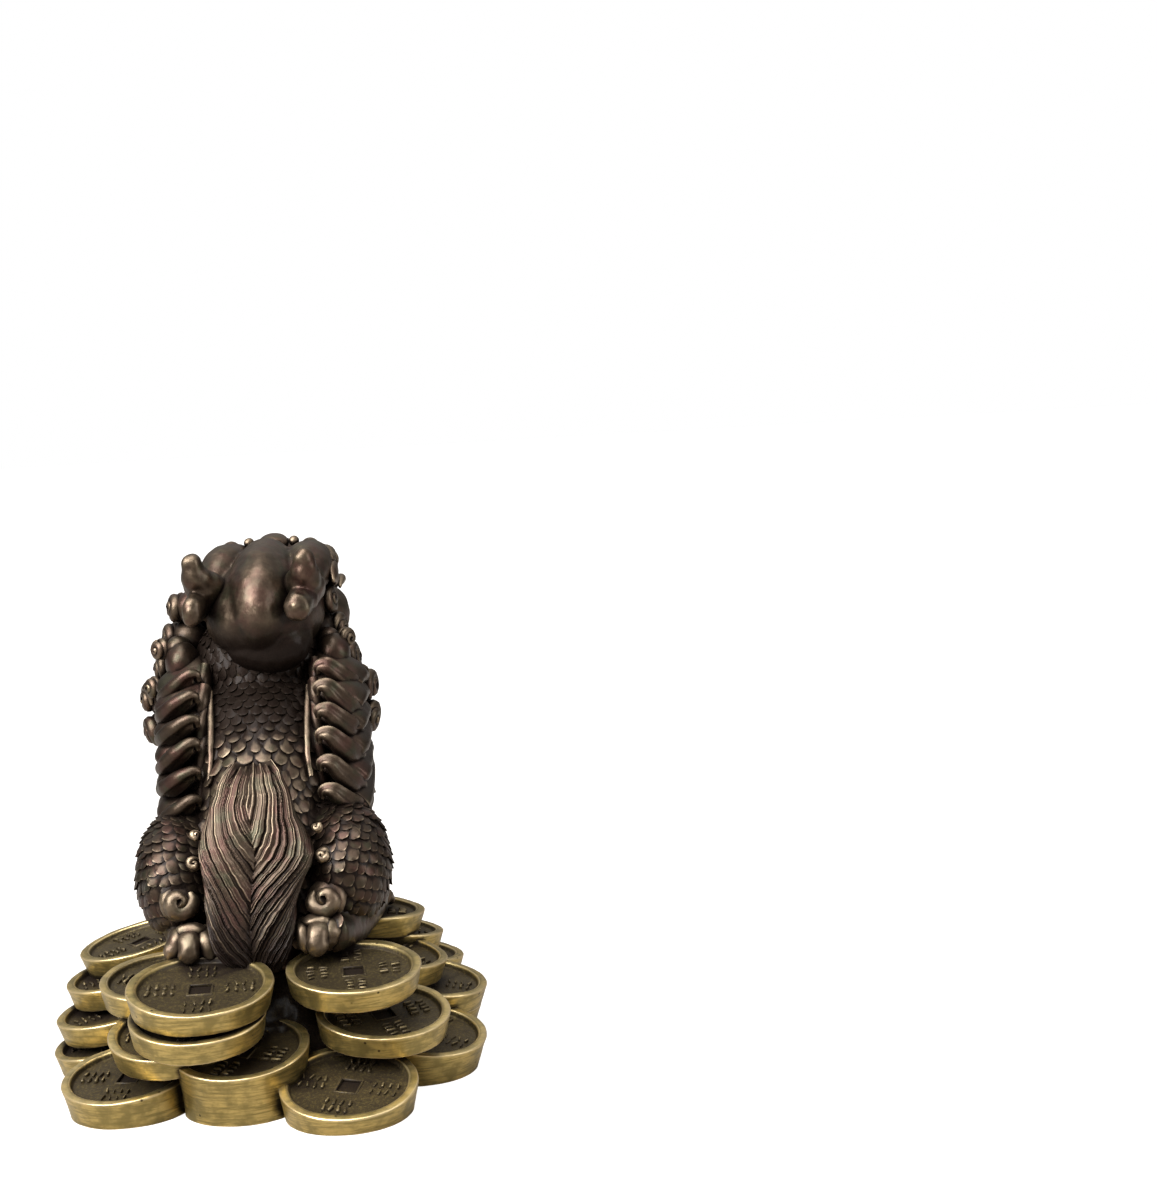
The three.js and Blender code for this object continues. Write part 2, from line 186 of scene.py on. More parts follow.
def outward(thing):
    """Turns every face outwards."""
    return edited(thing, lambda: bpy.ops.mesh.normals_make_consistent(inside=False))


def fused(things, grain, smoothing):
    """Joins solids under one smooth skin, as the caster's wax would be."""
    whole = modified(joined(things), "REMESH", mode="VOXEL", voxel_size=grain)
    return modified(whole, "SMOOTH", factor=0.5, iterations=smoothing)


def numbers_of(items, name, width, kind=float):
    """One property of every corner or edge as an array."""
    flat = np.empty(len(items) * width, kind)
    items.foreach_get(name, flat)
    return flat.reshape(-1, width)


def points_of(thing):
    """Corner positions as an array."""
    return numbers_of(thing.data.vertices, "co", 3)


def normals_of(thing):
    """Corner normals as an array."""
    return numbers_of(thing.data.vertices, "normal", 3)


def edges_of(thing):
    """The two ends of every edge."""
    return numbers_of(thing.data.edges, "vertices", 2, np.int64).T


def put_points(thing, points):
    """Moves the corners to new places."""
    thing.data.vertices.foreach_set("co", np.asarray(points, float).ravel())
    thing.data.update()


def keep_values(thing, name, values):
    """Stores one number per corner for the finish to read."""
    layers = thing.data.attributes
    layer = layers.get(name) or layers.new(name, "FLOAT", "POINT")
    layer.data.foreach_set("value", np.asarray(values, np.float32))


def wave(x, y, z):
    """Smooth noise, from -1 to 1, at a place."""
    return noise.noise(Vector((x, y, z)))


def ruffle(thing, size, depth, seed=0.0):
    """Makes a cast surface uneven: bumps of a size and a depth."""
    points = points_of(thing)
    shift = Vector((seed, seed * 1.7, -seed))
    push = np.array([noise.noise(Vector(p) / size + shift) for p in points])
    put_points(thing, points + normals_of(thing) * (push * depth)[:, None])
    return thing


# Shapes

def set_down(at, size, tip, turn):
    """Gives a new primitive its size, its tip about X, its turn about Z and its place."""
    made = bpy.context.object
    made.scale = size
    made.rotation_euler = (radians(tip), 0, radians(turn))
    made.location = at
    bpy.ops.object.transform_apply(location=True, rotation=True, scale=True)
    return made


def ball(at, radii, tip=0.0, turn=0.0, detail=28):
    """An oval, tipped about X and then turned about Z."""
    alone()
    bpy.ops.mesh.primitive_uv_sphere_add(segments=detail, ring_count=detail // 2 + 2, radius=1)
    return set_down(at, radii, tip, turn)


def block(at, size, turn=0.0):
    """A box, turned about Z."""
    alone()
    bpy.ops.mesh.primitive_cube_add(size=1)
    return set_down(at, size, 0, turn)


def shell(name, points, faces):
    """An object with a mesh of its own."""
    mesh = bpy.data.meshes.new(name)
    mesh.from_pydata([tuple(p) for p in points], [], faces)
    return placed(name, mesh)


def skin(rings, first, last):
    """A closed solid over rings of points, with a point to close each end."""
    rings = np.asarray(rings, float)
    count, sides = rings.shape[:2]
    faces = []
    for r in range(count - 1):
        for s in range(sides):
            a = r * sides + s
            b = r * sides + (s + 1) % sides
            faces.append((a, b, b + sides, a + sides))
    low = count * sides
    for s in range(sides):
        t = (s + 1) % sides
        faces.append((low, t, s))
        faces.append((low + 1, low - sides + s, low - sides + t))
    return outward(shell("solid", [*rings.reshape(-1, 3), first, last], faces))


def along(points, count):
    """Places and directions spaced along a smooth curve through the points."""
    given = np.asarray(points, float)
    ends = np.vstack([2 * given[0] - given[1], given, 2 * given[-1] - given[-2]])
    spots = []
    for i in range(count):
        t = i / (count - 1) * (len(given) - 1)
        k = min(int(t), len(given) - 2)
        u = t - k
        a, b, c, d = ends[k : k + 4]
        straight = 2 * b + (c - a) * u
        spots.append(0.5 * (straight + (2 * a - 5 * b + 4 * c - d) * u**2 + (3 * b - a - 3 * c + d) * u**3))
    spots = np.array(spots)
    ways = np.gradient(spots, axis=0)
    ways /= np.linalg.norm(ways, axis=1)[:, None]
    return spots, ways


def between(sizes, t):
    """A row of sizes read off an evenly spaced list at t from 0 to 1."""
    sizes = np.asarray(sizes, float)
    at = t * (len(sizes) - 1)
    k = min(int(at), len(sizes) - 2)
    u = at - k
    u = u * u * (3 - 2 * u) * 0.5 + u * 0.5
    return sizes[k] * (1 - u) + sizes[k + 1] * u


def swept(spine, sizes, across, sides=16, steps=24, outline=None, blunt=0.55):
    """A section swept along a smooth spine. Each size is (half width, half height), or one
    number where it is round; the width lies along `across`. An outline takes the angle
    round the section and the share of the way along, and gives a factor on the radius."""
    spots, ways = along(spine, steps)
    sizes = [size if isinstance(size, tuple) else (size, size) for size in sizes]
    rings = []
    for i, (spot, way) in enumerate(zip(spots, ways)):
        t = i / (steps - 1)
        half = between(sizes, t)
        way = Vector(way)
        up = way.cross(Vector(across)).normalized()
        wide = up.cross(way).normalized()
        ring = []
        for s in range(sides):
            angle = 2 * pi * s / sides
            factor = outline(angle, t) if outline else 1.0
            x, y = half * factor * (cos(angle), sin(angle))
            ring.append(Vector(spot) + wide * x + up * y)
        rings.append(ring)
    first = spots[0] - ways[0] * min(sizes[0]) * blunt
    last = spots[-1] + ways[-1] * min(sizes[-1]) * blunt
    return skin(rings, first, last)


def tower(levels, steps, sides, first, last):
    """A solid of level ovals, each given by height, middle y, half width and half depth."""
    rings = []
    for i in range(steps):
        z, y, wide, deep = between(levels, i / (steps - 1))
        angles = np.arange(sides) * 2 * pi / sides
        rings.append(np.stack([wide * np.cos(angles), y + deep * np.sin(angles), np.full(sides, z)], 1))
    return skin(rings, first, last)


def sided(side, *points):
    """Places given for the beast's left, taken to the side that is asked for."""
    return [(side * x, y, z) for x, y, z in points]


def winged(side, *points):
    """Such places on a wing, moved as the wings are."""
    return [(side * x + WING_SHIFT, y, z) for x, y, z in points]


def both_sides(*half):
    """A line given from one end to the middle, carried on to its other end."""
    return [*half, *sided(-1, *reversed(half[:-1]))]


def in_head(x, y, z):
    """A place measured from the middle of the skull, in the turned head."""
    return HEAD + Matrix.Rotation(radians(HEAD_TURN), 3, "Z") @ Vector((x, y, z))


def head_ball(at, radii, tip=0.0, turn=0.0, detail=28):
    """An oval placed and turned with the head."""
    return ball(in_head(*at), radii, tip, turn + HEAD_TURN, detail)


def head_strip(points, sizes, across=(0, 0, 1), sides=16, steps=30, blunt=0.55):
    """A section swept through places measured from the middle of the skull."""
    return swept([in_head(*p) for p in points], sizes, across, sides, steps, blunt=blunt)


def curl(radius, turns=1.9, hand=1, plump=0.36):
    """A snail of hair that winds in to its middle, lying in XY and standing up along Z."""
    count = int(16 * turns)
    path = bpy.data.curves.new("curl", "CURVE")
    path.dimensions = "3D"
    path.bevel_depth = 1.0
    path.bevel_resolution = 3
    path.use_fill_caps = True
    line = path.splines.new("POLY")
    line.points.add(count)
    for i, point in enumerate(line.points):
        t = i / count
        angle = hand * 2 * pi * turns * t
        reach = radius * (1 - plump) * (1 - t) ** 0.9
        rise = radius * (0.3 + 0.34 * t**1.3)
        point.co = (reach * cos(angle), reach * sin(angle), rise, 1)
        point.radius = radius * (plump * (1 - 0.5 * t) * min(1.0, 0.25 + 6 * t))
    made = alone(placed("curl", path))
    bpy.ops.object.convert(target="MESH")
    return joined([made, ball((0, 0, 0), (radius * 0.84, radius * 0.84, radius * 0.42), detail=16)])


def copy_of(thing, matrix):
    """A copy with its own mesh, put in place by a matrix."""
    twin = placed(thing.name, thing.data.copy())
    twin.data.transform(matrix)
    return twin


def facing(at, out, spin=0.0, size=1.0, mirror=False):
    """The matrix that stands a thing's +Z along `out` at a place."""
    turn = Vector(out).to_track_quat("Z", "Y").to_matrix().to_4x4()
    scale = Matrix.Diagonal((-size if mirror else size, size, size, 1))
    return Matrix.Translation(at) @ turn @ Matrix.Rotation(spin, 4, "Z") @ scale


# Coins

def bar(x, y, length, slant, width, bottom, top):
    """One raised stroke, with its edges worn round."""
    made = block((x, y, (top + bottom) / 2), (length, width, top - bottom), slant)
    return modified(made, "BEVEL", width=width * 0.3, segments=1, limit_method="NONE")


def coin_blank(sizes, height):
    """A disc with a raised border, its border's top at z = 0 and its wall drawn in below."""

    def sink_field():
        bpy.ops.mesh.inset(thickness=sizes.border, depth=0)
        bpy.ops.mesh.inset(thickness=FIELD_SLOPE, depth=-sizes.field_depth)

    alone()
    bpy.ops.mesh.primitive_cylinder_add(
        vertices=72, radius=sizes.radius, depth=height, location=(0, 0, -height / 2)
    )
    coin = bpy.context.object
    bpy.ops.object.transform_apply(location=True)
    first, second = points_of(coin)[edges_of(coin), 2]
    upright = np.abs(first - second) > height * 0.5
    edited(coin, lambda: bpy.ops.mesh.subdivide(number_cuts=round(height) + 1), "EDGE", upright.tolist())
    edited(coin, sink_field, "FACE", [face.normal.z > 0.9 for face in coin.data.polygons])
    points = points_of(coin)
    wall = points[:, 2] < -0.05
    wall &= np.hypot(points[:, 0], points[:, 1]) > sizes.radius - 0.3
    drawn_in = 1 - sizes.taper * np.clip(-points[:, 2], 0, 5) ** 0.9
    points[wall, :2] *= drawn_in[wall, None]
    put_points(coin, points)
    return modified(coin, "BEVEL", width=0.2, segments=3, limit_method="ANGLE", angle_limit=radians(40))


def struck_coin(sizes, height, dice):
    """A whole coin: blank, shallow square hole with its low frame, and at each of its
    four sides two rows of short strokes that spell nothing."""
    coin = coin_blank(sizes, height)
    low = -sizes.field_depth
    hole = sizes.hole / 2
    cutter = block((0, 0, low), (sizes.hole, sizes.hole, 0.5))
    modified(coin, "BOOLEAN", object=cutter, operation="DIFFERENCE", solver="EXACT")
    bpy.data.objects.remove(cutter)
    parts = [coin]
    for side in SIDES:
        reach = side * (hole + FRAME_WIDTH / 2)
        for slant, place in ((0, (0, reach)), (90, (reach, 0))):
            length = sizes.hole + 2 * FRAME_WIDTH
            parts.append(bar(*place, length, slant, FRAME_WIDTH, low - 0.3, low * 0.88))
    reach = (sizes.radius - sizes.border + hole + FRAME_WIDTH) / 2 + 0.1
    step = sizes.stroke_size
    for k in range(4):
        middle = Vector((reach, 0, 0))
        middle.rotate(Matrix.Rotation(pi / 2 * k, 3, "Z"))
        for row in (-0.5, 0.5):
            for place in (-1.5, -0.5, 0.5, 1.5):
                x = middle.x + step * (place * 0.82 + dice.uniform(-0.06, 0.06))
                y = middle.y + step * (row * 1.35 + dice.uniform(-0.08, 0.08))
                slant = 90 + dice.uniform(-20, 20)
                length = step * dice.uniform(0.75, 1.05)
                top = low * dice.uniform(0.45, 0.65)
                parts.append(bar(x, y, length, slant, STROKE_WIDTH, low - 0.2, top))
    coin = joined(parts)
    points = points_of(coin)
    out = np.hypot(points[:, 0], points[:, 1])
    depth = np.clip(points[:, 2] / low, 0, 1)
    sunk = np.where(out < sizes.radius - sizes.border - 0.02, np.clip(depth * 1.7, 0, 1), 0.0)
    border = (out < sizes.radius - 0.3) & (points[:, 2] > -0.1)
    # Painted shade: the border's top takes on part of the field's dark
    keep_values(coin, "field", np.where(border, BORDER_SHADE, sunk))
    return coin


def lay_coin(coin, at, lean, to, spin, wide):
    """A copy of a coin, laid in the bed so that it leans to a compass angle."""
    to = radians(to)
    lie = Matrix.Rotation(radians(lean), 4, (-sin(to), cos(to), 0))
    scale = Matrix.Diagonal((wide, wide, 1, 1))
    return copy_of(coin, Matrix.Translation(at) @ lie @ Matrix.Rotation(spin, 4, "Z") @ scale)


MOUND = (  # height, middle y, half width, half depth
    (-0.8, 1.5, 20, 29),
    (4, 1.5, 19, 27),
    (8, 1.5, 15.5, 22),
    (12, 1.5, 13, 18),
    (SEAT - 0.8, 1.5, 9.5, 15),
)


def mound():
    """The resin between and under the coins."""
    made = tower(MOUND, 41, 110, (0, 1.5, -0.8), (0, 1.5, SEAT - 0.5))
    ruffle(made, 2.2, 0.8)
    ruffle(made, 0.8, 0.3)
    # The mound takes the field's dark, and past 1 it is painted shade between the coins
    keep_values(made, "field", np.full(len(made.data.vertices), MOUND_DARK_AND_SHADE))
    return made


def cut_at_floor(thing):
    """Cuts a piece off level with the floor, and closes it."""
    cut = {"plane_co": (0, 0, 0), "plane_no": (0, 0, 1), "use_fill": True, "clear_inner": True}
    return edited(thing, lambda: bpy.ops.mesh.bisect(**cut, threshold=1e-4))


def make_coin_bed(sizes):
    """All the coins in the bed and the mound that holds them."""
    dice = random.Random(7)
    models = {}
    for height in sorted({coin[3] for coin in COINS}):
        models[height] = [struck_coin(sizes, height, dice) for _ in range(ALIKE)]
    laid = []
    for i, (at, lean, to, height) in enumerate(COINS):
        spin = radians(to + 90 * dice.randrange(4) + dice.uniform(-25, 25))
        wide = WIDE if i == TOP_COIN else dice.uniform(0.985, 1.01)
        coin = lay_coin(models[height][i % ALIKE], at, lean, to, spin, wide)
        ruffle(coin, 5.0, 0.16, seed=i)
        ruffle(coin, 1.1, 0.05, seed=i)
        laid.append(cut_at_floor(coin) if height > SINGLE else coin)
    for alike in models.values():
        for model in alike:
            bpy.data.objects.remove(model)
    return joined([*laid, cut_at_floor(mound())])


# Body

TRUNK = (  # height, middle y, half width, half depth
    (SEAT - 2, 4, 10.5, 14),
    (20.5, 4.2, 11.2, 14.4),
    (25, 3.9, 11.2, 14.3),
    (29.5, 3.4, 10.9, 14.0),
    (34, 2.7, 10.5, 13.8),
    (38.5, 1.6, 10.2, 13.8),
    (43, -0.4, 10.2, 12.9),
    (47.5, -2.6, 9.7, 10.8),
    (51, -4, 8, 8),
)
BAND = (  # the low line between the wing and the scales of the back
    (6.5, 4.45, 49.6),
    (6.35, 7.15, 47.0),
    (6.3, 9.25, 44.4),
    (6.3, 11.15, 41.4),
    (6.6, 12.05, 38.6),
)


def haunch(side):
    """The middle of a haunch."""
    return Vector((side * 10.4 + 0.1, 9, 26))


def hind_leg(side):
    """Haunch, knee and the long foot that lies along the coins."""
    foot = sided(side, (9.2, 20.0, 19.3), (10.8, 12, 18.2), (12.2, 2, 18), (12.8, -6, 18.2))
    return [
        ball(haunch(side), (6.5, 10.2, 9.0), tip=12, detail=40),
        ball((side * 11.6, -0.6, 22.8), (4.1, 6.6, 5.4), tip=-18),
        swept(foot, [(2.2, 2.8), (2.8, 3.0), (3.2, 2.8), (3.3, 2.6)], (1, 0, 0), sides=20),
        ball((side * 12.8, -5.6, 18.4), (3.3, 5.0, 2.8)),
    ]


def fore_leg(side):
    """A foreleg, upright in front of the chest, and its paw."""
    leg = sided(side, (9, -3.5, 42), (10.2, -7.5, 35), (9.6, -13.4, 27), (8.8, -16.4, 19), (8.6, -17.2, 15))
    return [
        swept(leg, [(4.6, 5.6), (4.3, 5.0), (3.3, 3.7), (2.9, 3.1), 3.4], (1, 0, 0), sides=24, steps=30),
        ball((side * 10.4, -5.5, 40), (4.0, 5.6, 7), tip=-10),
        ball((side * 8.6, -18.4, 17.4), (4.0, 4.2, 2.9)),
    ]


def make_body():
    """Trunk, neck, haunches and legs under one skin."""
    parts = [tower(TRUNK, 40, 64, (0, 4, SEAT - 2.3), (0, -4.5, 53))]
    parts += [ball((0, -5, 52.5), (9.6, 9.6, 8)), ball((0, -8.5, 44), (8.6, 6.4, 9))]
    for side in SIDES:
        parts += hind_leg(side) + fore_leg(side)
    body = fused(parts, BODY_GRAIN, smoothing=5)
    put_points(body, points_of(body) - normals_of(body) * BODY_SUNK)
    ruffle(body, 3.0, 0.18)
    thin = [(0.3, 0.2), (0.4, 0.25), (0.3, 0.2)]
    bands = [swept(winged(side, *BAND), thin, (1, 0, 0), sides=12, steps=50) for side in SIDES]
    return ruffle(joined([body, *bands]), 0.9, 0.07)


# Scales

SPINE = (  # down the middle of the back, from under the skull to the seat
    (0, -0.5, 59.0),
    (0, 3.2, 55.5),
    (0, 5.2, 52.0),
    (0, 8.0, 47.9),
    (0, 12.0, 43.4),
    (0, 14.9, 38.5),
    (0, 16.3, 33.5),
    (0, 17.6, 28.0),
    (0, 18.2, 22.0),
    (0, 18.0, 17.0),
)
BACK = (  # height, and how far out from the middle the scales of the back reach there
    (15.0, 9.0),
    (38.0, 7.4),
    (41.0, 5.2),
    (43.5, 4.9),
    (49.5, 6.2),
    (52.0, 7.0),
    (60.0, 9.0),
)
BACK_MIDDLE = -0.2  # x of the middle of that strip
HAUNCH_LOW = 20.4  # height at which the scales of the haunches stop
HAUNCH_INSIDE = 5.2  # and how near they come to the middle of the beast
LEG_INSIDE = 5.8  # and how near those of the forelegs come
SCALE_ROWS = (  # share of a scale's length, and its width there
    (0.0, 0.94),
    (0.5, 1.0),
    (0.74, 0.93),
    (0.91, 0.68),
    (1.0, 0.3),
)
SCALE_COLUMNS = 6  # corners across a scale


def one_scale(sizes):
    """A scale: a thin tongue with a round, raised tip, its root at the origin and sunk in,
    its tip along +Y and its outer face towards +Z."""
    points, faces = [], []
    wide = SCALE_COLUMNS
    for t, share in SCALE_ROWS:
        for u in np.linspace(-1, 1, wide):
            z = sizes.scale_lift * t - 0.2 * (1 - t) + 0.3 * (1 - u * u) * (1 - 0.7 * t)
            x = sizes.scale_width / 2 * u * share
            points.append((x, sizes.scale_length * (t - 0.04 * u * u * t), z))
    last = len(points) - wide
    for low in range(0, last, wide):
        for a in range(low, low + wide - 1):
            faces.append((a, a + 1, a + 1 + wide, a + wide))
    border = [*range(wide), *range(2 * wide - 1, last + wide, wide)]
    border += [*range(last + wide - 2, last - 1, -1), *range(last - wide, 0, -wide)]
    skirt = range(len(points), len(points) + len(border))
    points += [(points[k][0] * 0.8, points[k][1] * 0.88, -0.7) for k in border]
    for i, k in enumerate(border):
        n = (i + 1) % len(border)
        faces.append((border[n], k, skirt[i], skirt[n]))
    faces.append(tuple(skirt))
    return outward(shell("scale", points, faces))


def ring_of_places(tree, centre, axis, start, lean, sweep, pitch, offset):
    """Places spaced by `pitch` round a ring on the surface. The ring is where lines from
    the centre, at `lean` degrees from the axis, leave the body; `sweep` is how far it
    runs to each side of `start`, and `offset` shifts the places by a share of the pitch."""
    axis = Vector(axis).normalized()
    start = (Vector(start) - axis * Vector(start).dot(axis)).normalized()
    found = []
    for way in SIDES:
        last = None
        gone = 0.0
        due = pitch * (offset if way == 1 else 1 - offset)
        for step in range(sweep + 1):
            spin = Matrix.Rotation(radians(way * step), 3, axis)
            line = axis * cos(radians(lean)) + (spin @ start) * sin(radians(lean))
            spot, normal, _, _ = tree.ray_cast(centre, line)
            if spot is None:
                break
            if last is not None:
                gone += (spot - last).length
            if gone >= due:
                found.append((spot, normal))
                due += pitch
            last = spot
    return found


def on_back(spot):
    """Whether a place lies on the strip of scales between the wings."""
    return abs(spot.x - BACK_MIDDLE) < np.interp(spot.z, *np.transpose(BACK))


def fineness(z):
    """How much smaller scales are towards the neck, by their height."""
    return 1 - 0.3 * min(max((z - 41) / 6, 0), 1)


def scale_places(tree, sizes):
    """Where every scale goes: its place, outward normal and the way its tip points."""
    places = []
    pitch = sizes.scale_width * 1.04
    row = sizes.scale_row

    def add(ring, down, keep):
        for spot, normal in ring:
            flat = Vector(down) - normal * Vector(down).dot(normal)
            if flat.length > 0.15 and keep(spot):
                places.append((spot, normal, flat.normalized()))

    def rows_down(line, reach, start, sweep, keep):
        """Rings of scales down a limb or the back, one row apart on the surface."""
        last, gone, i = None, row, 0
        for spot, way in zip(*along(line, 400)):
            way = Vector(way)
            first = (Vector(start) - way * Vector(start).dot(way)).normalized()
            centre = Vector(spot) - first * reach
            seen = tree.ray_cast(centre, first)[0]
            if seen is None:
                continue
            gone += (seen - last).length if last is not None else 0
            last = seen
            share = fineness(seen.z)
            if gone >= row * share:
                gone -= row * share
                ring = ring_of_places(tree, centre, -way, first, 90, sweep, pitch * share, (i % 2) / 2)
                add(ring, way, keep)
                i += 1

    rows_down(SPINE, 7.5, (0, 1, 0.45), 112, on_back)
    for side in SIDES:
        middle = haunch(side)
        pole = Vector((-side * 0.62, -0.1, 0.78)).normalized()
        start = (side * 0.6, 0.8, 0.3)
        lean, i = 14.0, 0
        while lean < 168:
            ring = ring_of_places(tree, middle, pole, start, lean, 179, pitch, (i % 2) / 2)
            add(ring, -pole, lambda p: p.z > HAUNCH_LOW and side * p.x > HAUNCH_INSIDE)
            reach = sum((spot - middle).length for spot, _ in ring) / max(len(ring), 1)
            lean += degrees(row / max(reach, 4.0))
            i += 1
        limb = sided(side, (10.2, -7.5, 37), (9.6, -13.4, 27), (8.8, -16.4, 20.5))
        rows_down(limb, 0.0, (side, -0.4, 0), 150, lambda p: side * p.x > LEG_INSIDE)
    return places


def make_scales(body, sizes):
    """The coat of scales over back, flanks, haunches and forelegs."""
    dice = random.Random(11)
    tree = BVHTree.FromPolygons(points_of(body).tolist(), [p.vertices[:] for p in body.data.polygons])
    model = one_scale(sizes)
    shape = points_of(model)
    faces = [p.vertices[:] for p in model.data.polygons]
    bpy.data.objects.remove(model)
    points, polygons = [], []
    for spot, normal, down in scale_places(tree, sizes):
        turn = Matrix((down.cross(normal), down, normal)).transposed()
        tilt = (dice.uniform(-0.1, 0.06), dice.uniform(-0.1, 0.1), dice.uniform(-0.13, 0.13))
        turn = turn @ Euler(tilt).to_matrix()
        size = dice.uniform(0.94, 1.05) * fineness(spot.z)
        place = np.array(spot - down * sizes.scale_length * 0.45)
        start = len(points)
        points += list(shape @ (np.array(turn).T * size) + place)
        polygons += [tuple(start + v for v in face) for face in faces]
    return shell("scales", points, polygons)


# Tail

TAIL = (  # height, middle x and y, half width, thickness, from the root down
    (40.9, 0.3, 14.4, 2.6, 1.0),
    (40.0, 0.3, 14.9, 3.5, 1.8),
    (39.0, 0.4, 15.5, 4.0, 2.3),
    (37.8, 0.3, 16.1, 4.5, 2.8),
    (36.4, 0.5, 16.6, 5.1, 3.0),
    (34.8, 0.5, 17.2, 5.5, 3.2),
    (33.2, 0.3, 17.7, 6.3, 3.3),
    (31.6, 0.1, 18.1, 6.8, 3.4),
    (30.0, 0.0, 18.5, 7.0, 3.4),
    (28.4, 0.2, 18.9, 6.7, 3.3),
    (26.8, 0.5, 19.3, 6.1, 3.2),
    (25.2, 0.7, 19.7, 5.7, 3.1),
    (23.6, 0.9, 20.1, 5.4, 3.0),
    (22.0, 1.0, 20.5, 5.3, 2.9),
    (20.4, 1.0, 20.9, 5.1, 2.7),
    (18.8, 1.0, 21.2, 4.7, 2.4),
    (17.2, 0.8, 21.4, 3.9, 2.0),
    (15.6, 0.6, 21.6, 2.8, 1.3),
)
TAIL_ACROSS = 230  # points over the outer face
TAIL_DOWN = 290
TAIL_BACK = 12  # steps over the face that lies on the rump


def strand_height(u, v, locks):
    """Relief of the tail's hair at u across (-1 to 1) and v down it (0 to 1). Locks fan
    out from the root, and below that turn in to meet in a row of arrowheads."""
    side = 1.0 if u > 0 else -1.0
    wander = 0.10 * wave(u * 1.6, v * 2.6, 1.3 * side) + 0.025 * wave(u * 4, v * 3, 5.3 * side)
    turned = max(0.0, v - 0.22 + 0.10 * abs(u))
    lane = (abs(u) + 2.5 * turned**1.4 + wander) * locks + (0.37 if u < 0 else 0)
    lane += 0.6 * wave(lane * 0.9, v * 0.7, 7.7 * side)
    share = lane % 1.0
    weight = 0.8 + 1.1 * wave(lane // 1 * 3.7, v * 2.0, side)
    overlap = min(1.0, share / 0.85) ** 0.7 * min(1.0, (1 - share) / 0.15)
    depth = 0.6 + 0.9 * wave(lane * 3 // 1 * 1.9, v * 4.0, side)
    fine = abs(sin(pi * lane * 3)) ** 0.8 * depth
    finest = abs(sin(pi * (lane * 5.3 + 0.4)))
    keel = -0.3 * exp(-((u / 0.05) ** 2)) * min(1.0, turned * 4)
    return 0.62 * overlap * weight + 0.26 * fine * (0.3 + weight) + 0.12 * finest + keel


def make_tail(sizes):
    """The tail, laid up the rump like a flame."""
    rings = []
    for i in range(TAIL_DOWN):
        v = i / (TAIL_DOWN - 1)
        z, x, y, wide, thick = between(TAIL, v)
        torn = 1.5 * max(0.0, 1 - v * 10)
        ends = min(1.0, (1 - v) * 14 + 0.15) * min(1.0, v * 16 + 0.2)
        ring = []
        for k in range(TAIL_ACROSS):
            u = -1 + 2 * k / (TAIL_ACROSS - 1)
            face = cos(u * pi / 2) ** 0.62
            relief = strand_height(u, v, sizes.locks) * sizes.strand_depth * ends
            sway = 0.25 * wave(v * 5, 3.0 if u > 0 else 9.0, 0) * abs(u)
            out = sin(u * pi / 2 * 0.999)
            spread = wide + sway + 0.5 * relief * abs(out) ** 3
            rise = thick * face + relief * min(1.0, 0.2 + face)
            ring.append((x + spread * out, y + rise, z + torn * wave(u * 5.5, 0.0, 2.0)))
        for k in range(1, TAIL_BACK):
            u = 1 - 2 * k / TAIL_BACK
            ring.append((x + wide * 0.97 * u, y - 0.8 * thick * cos(u * pi / 2), z))
        rings.append(ring)
    return skin(rings, (0.3, 13.6, 40.4), (0.6, 21.6, 15.2))


# Wings

FEATHER_ENDS = (52.0, 49.6, 46.6, 43.6, 40.0, 36.4)  # heights of their hooked ends
FEATHER_ROOTS = (48.5, 39.5)  # heights of the first root and the last
FEATHER_SLOPE = 30  # degrees that their outer faces lean


def barbed(angle, t):
    """The section of a feather, with its barbs."""
    barbs = 0.05 * abs(sin(angle * 5 + 0.4 * sin(t * 9))) ** 0.5 * min(1.0, (1 - t) * 4)
    return 0.96 + 0.10 * cos(2 * angle) + barbs


def ridged(angle, t):
    """The section of a hooked end: a crest between two grooves."""
    crest = exp(-(((angle - 1.6) / 0.34) ** 2))
    grooves = exp(-(((angle - 2.35) / 0.4) ** 2)) + exp(-(((angle - 0.8) / 0.4) ** 2))
    return 0.94 + 0.46 * crest - 0.12 * grooves


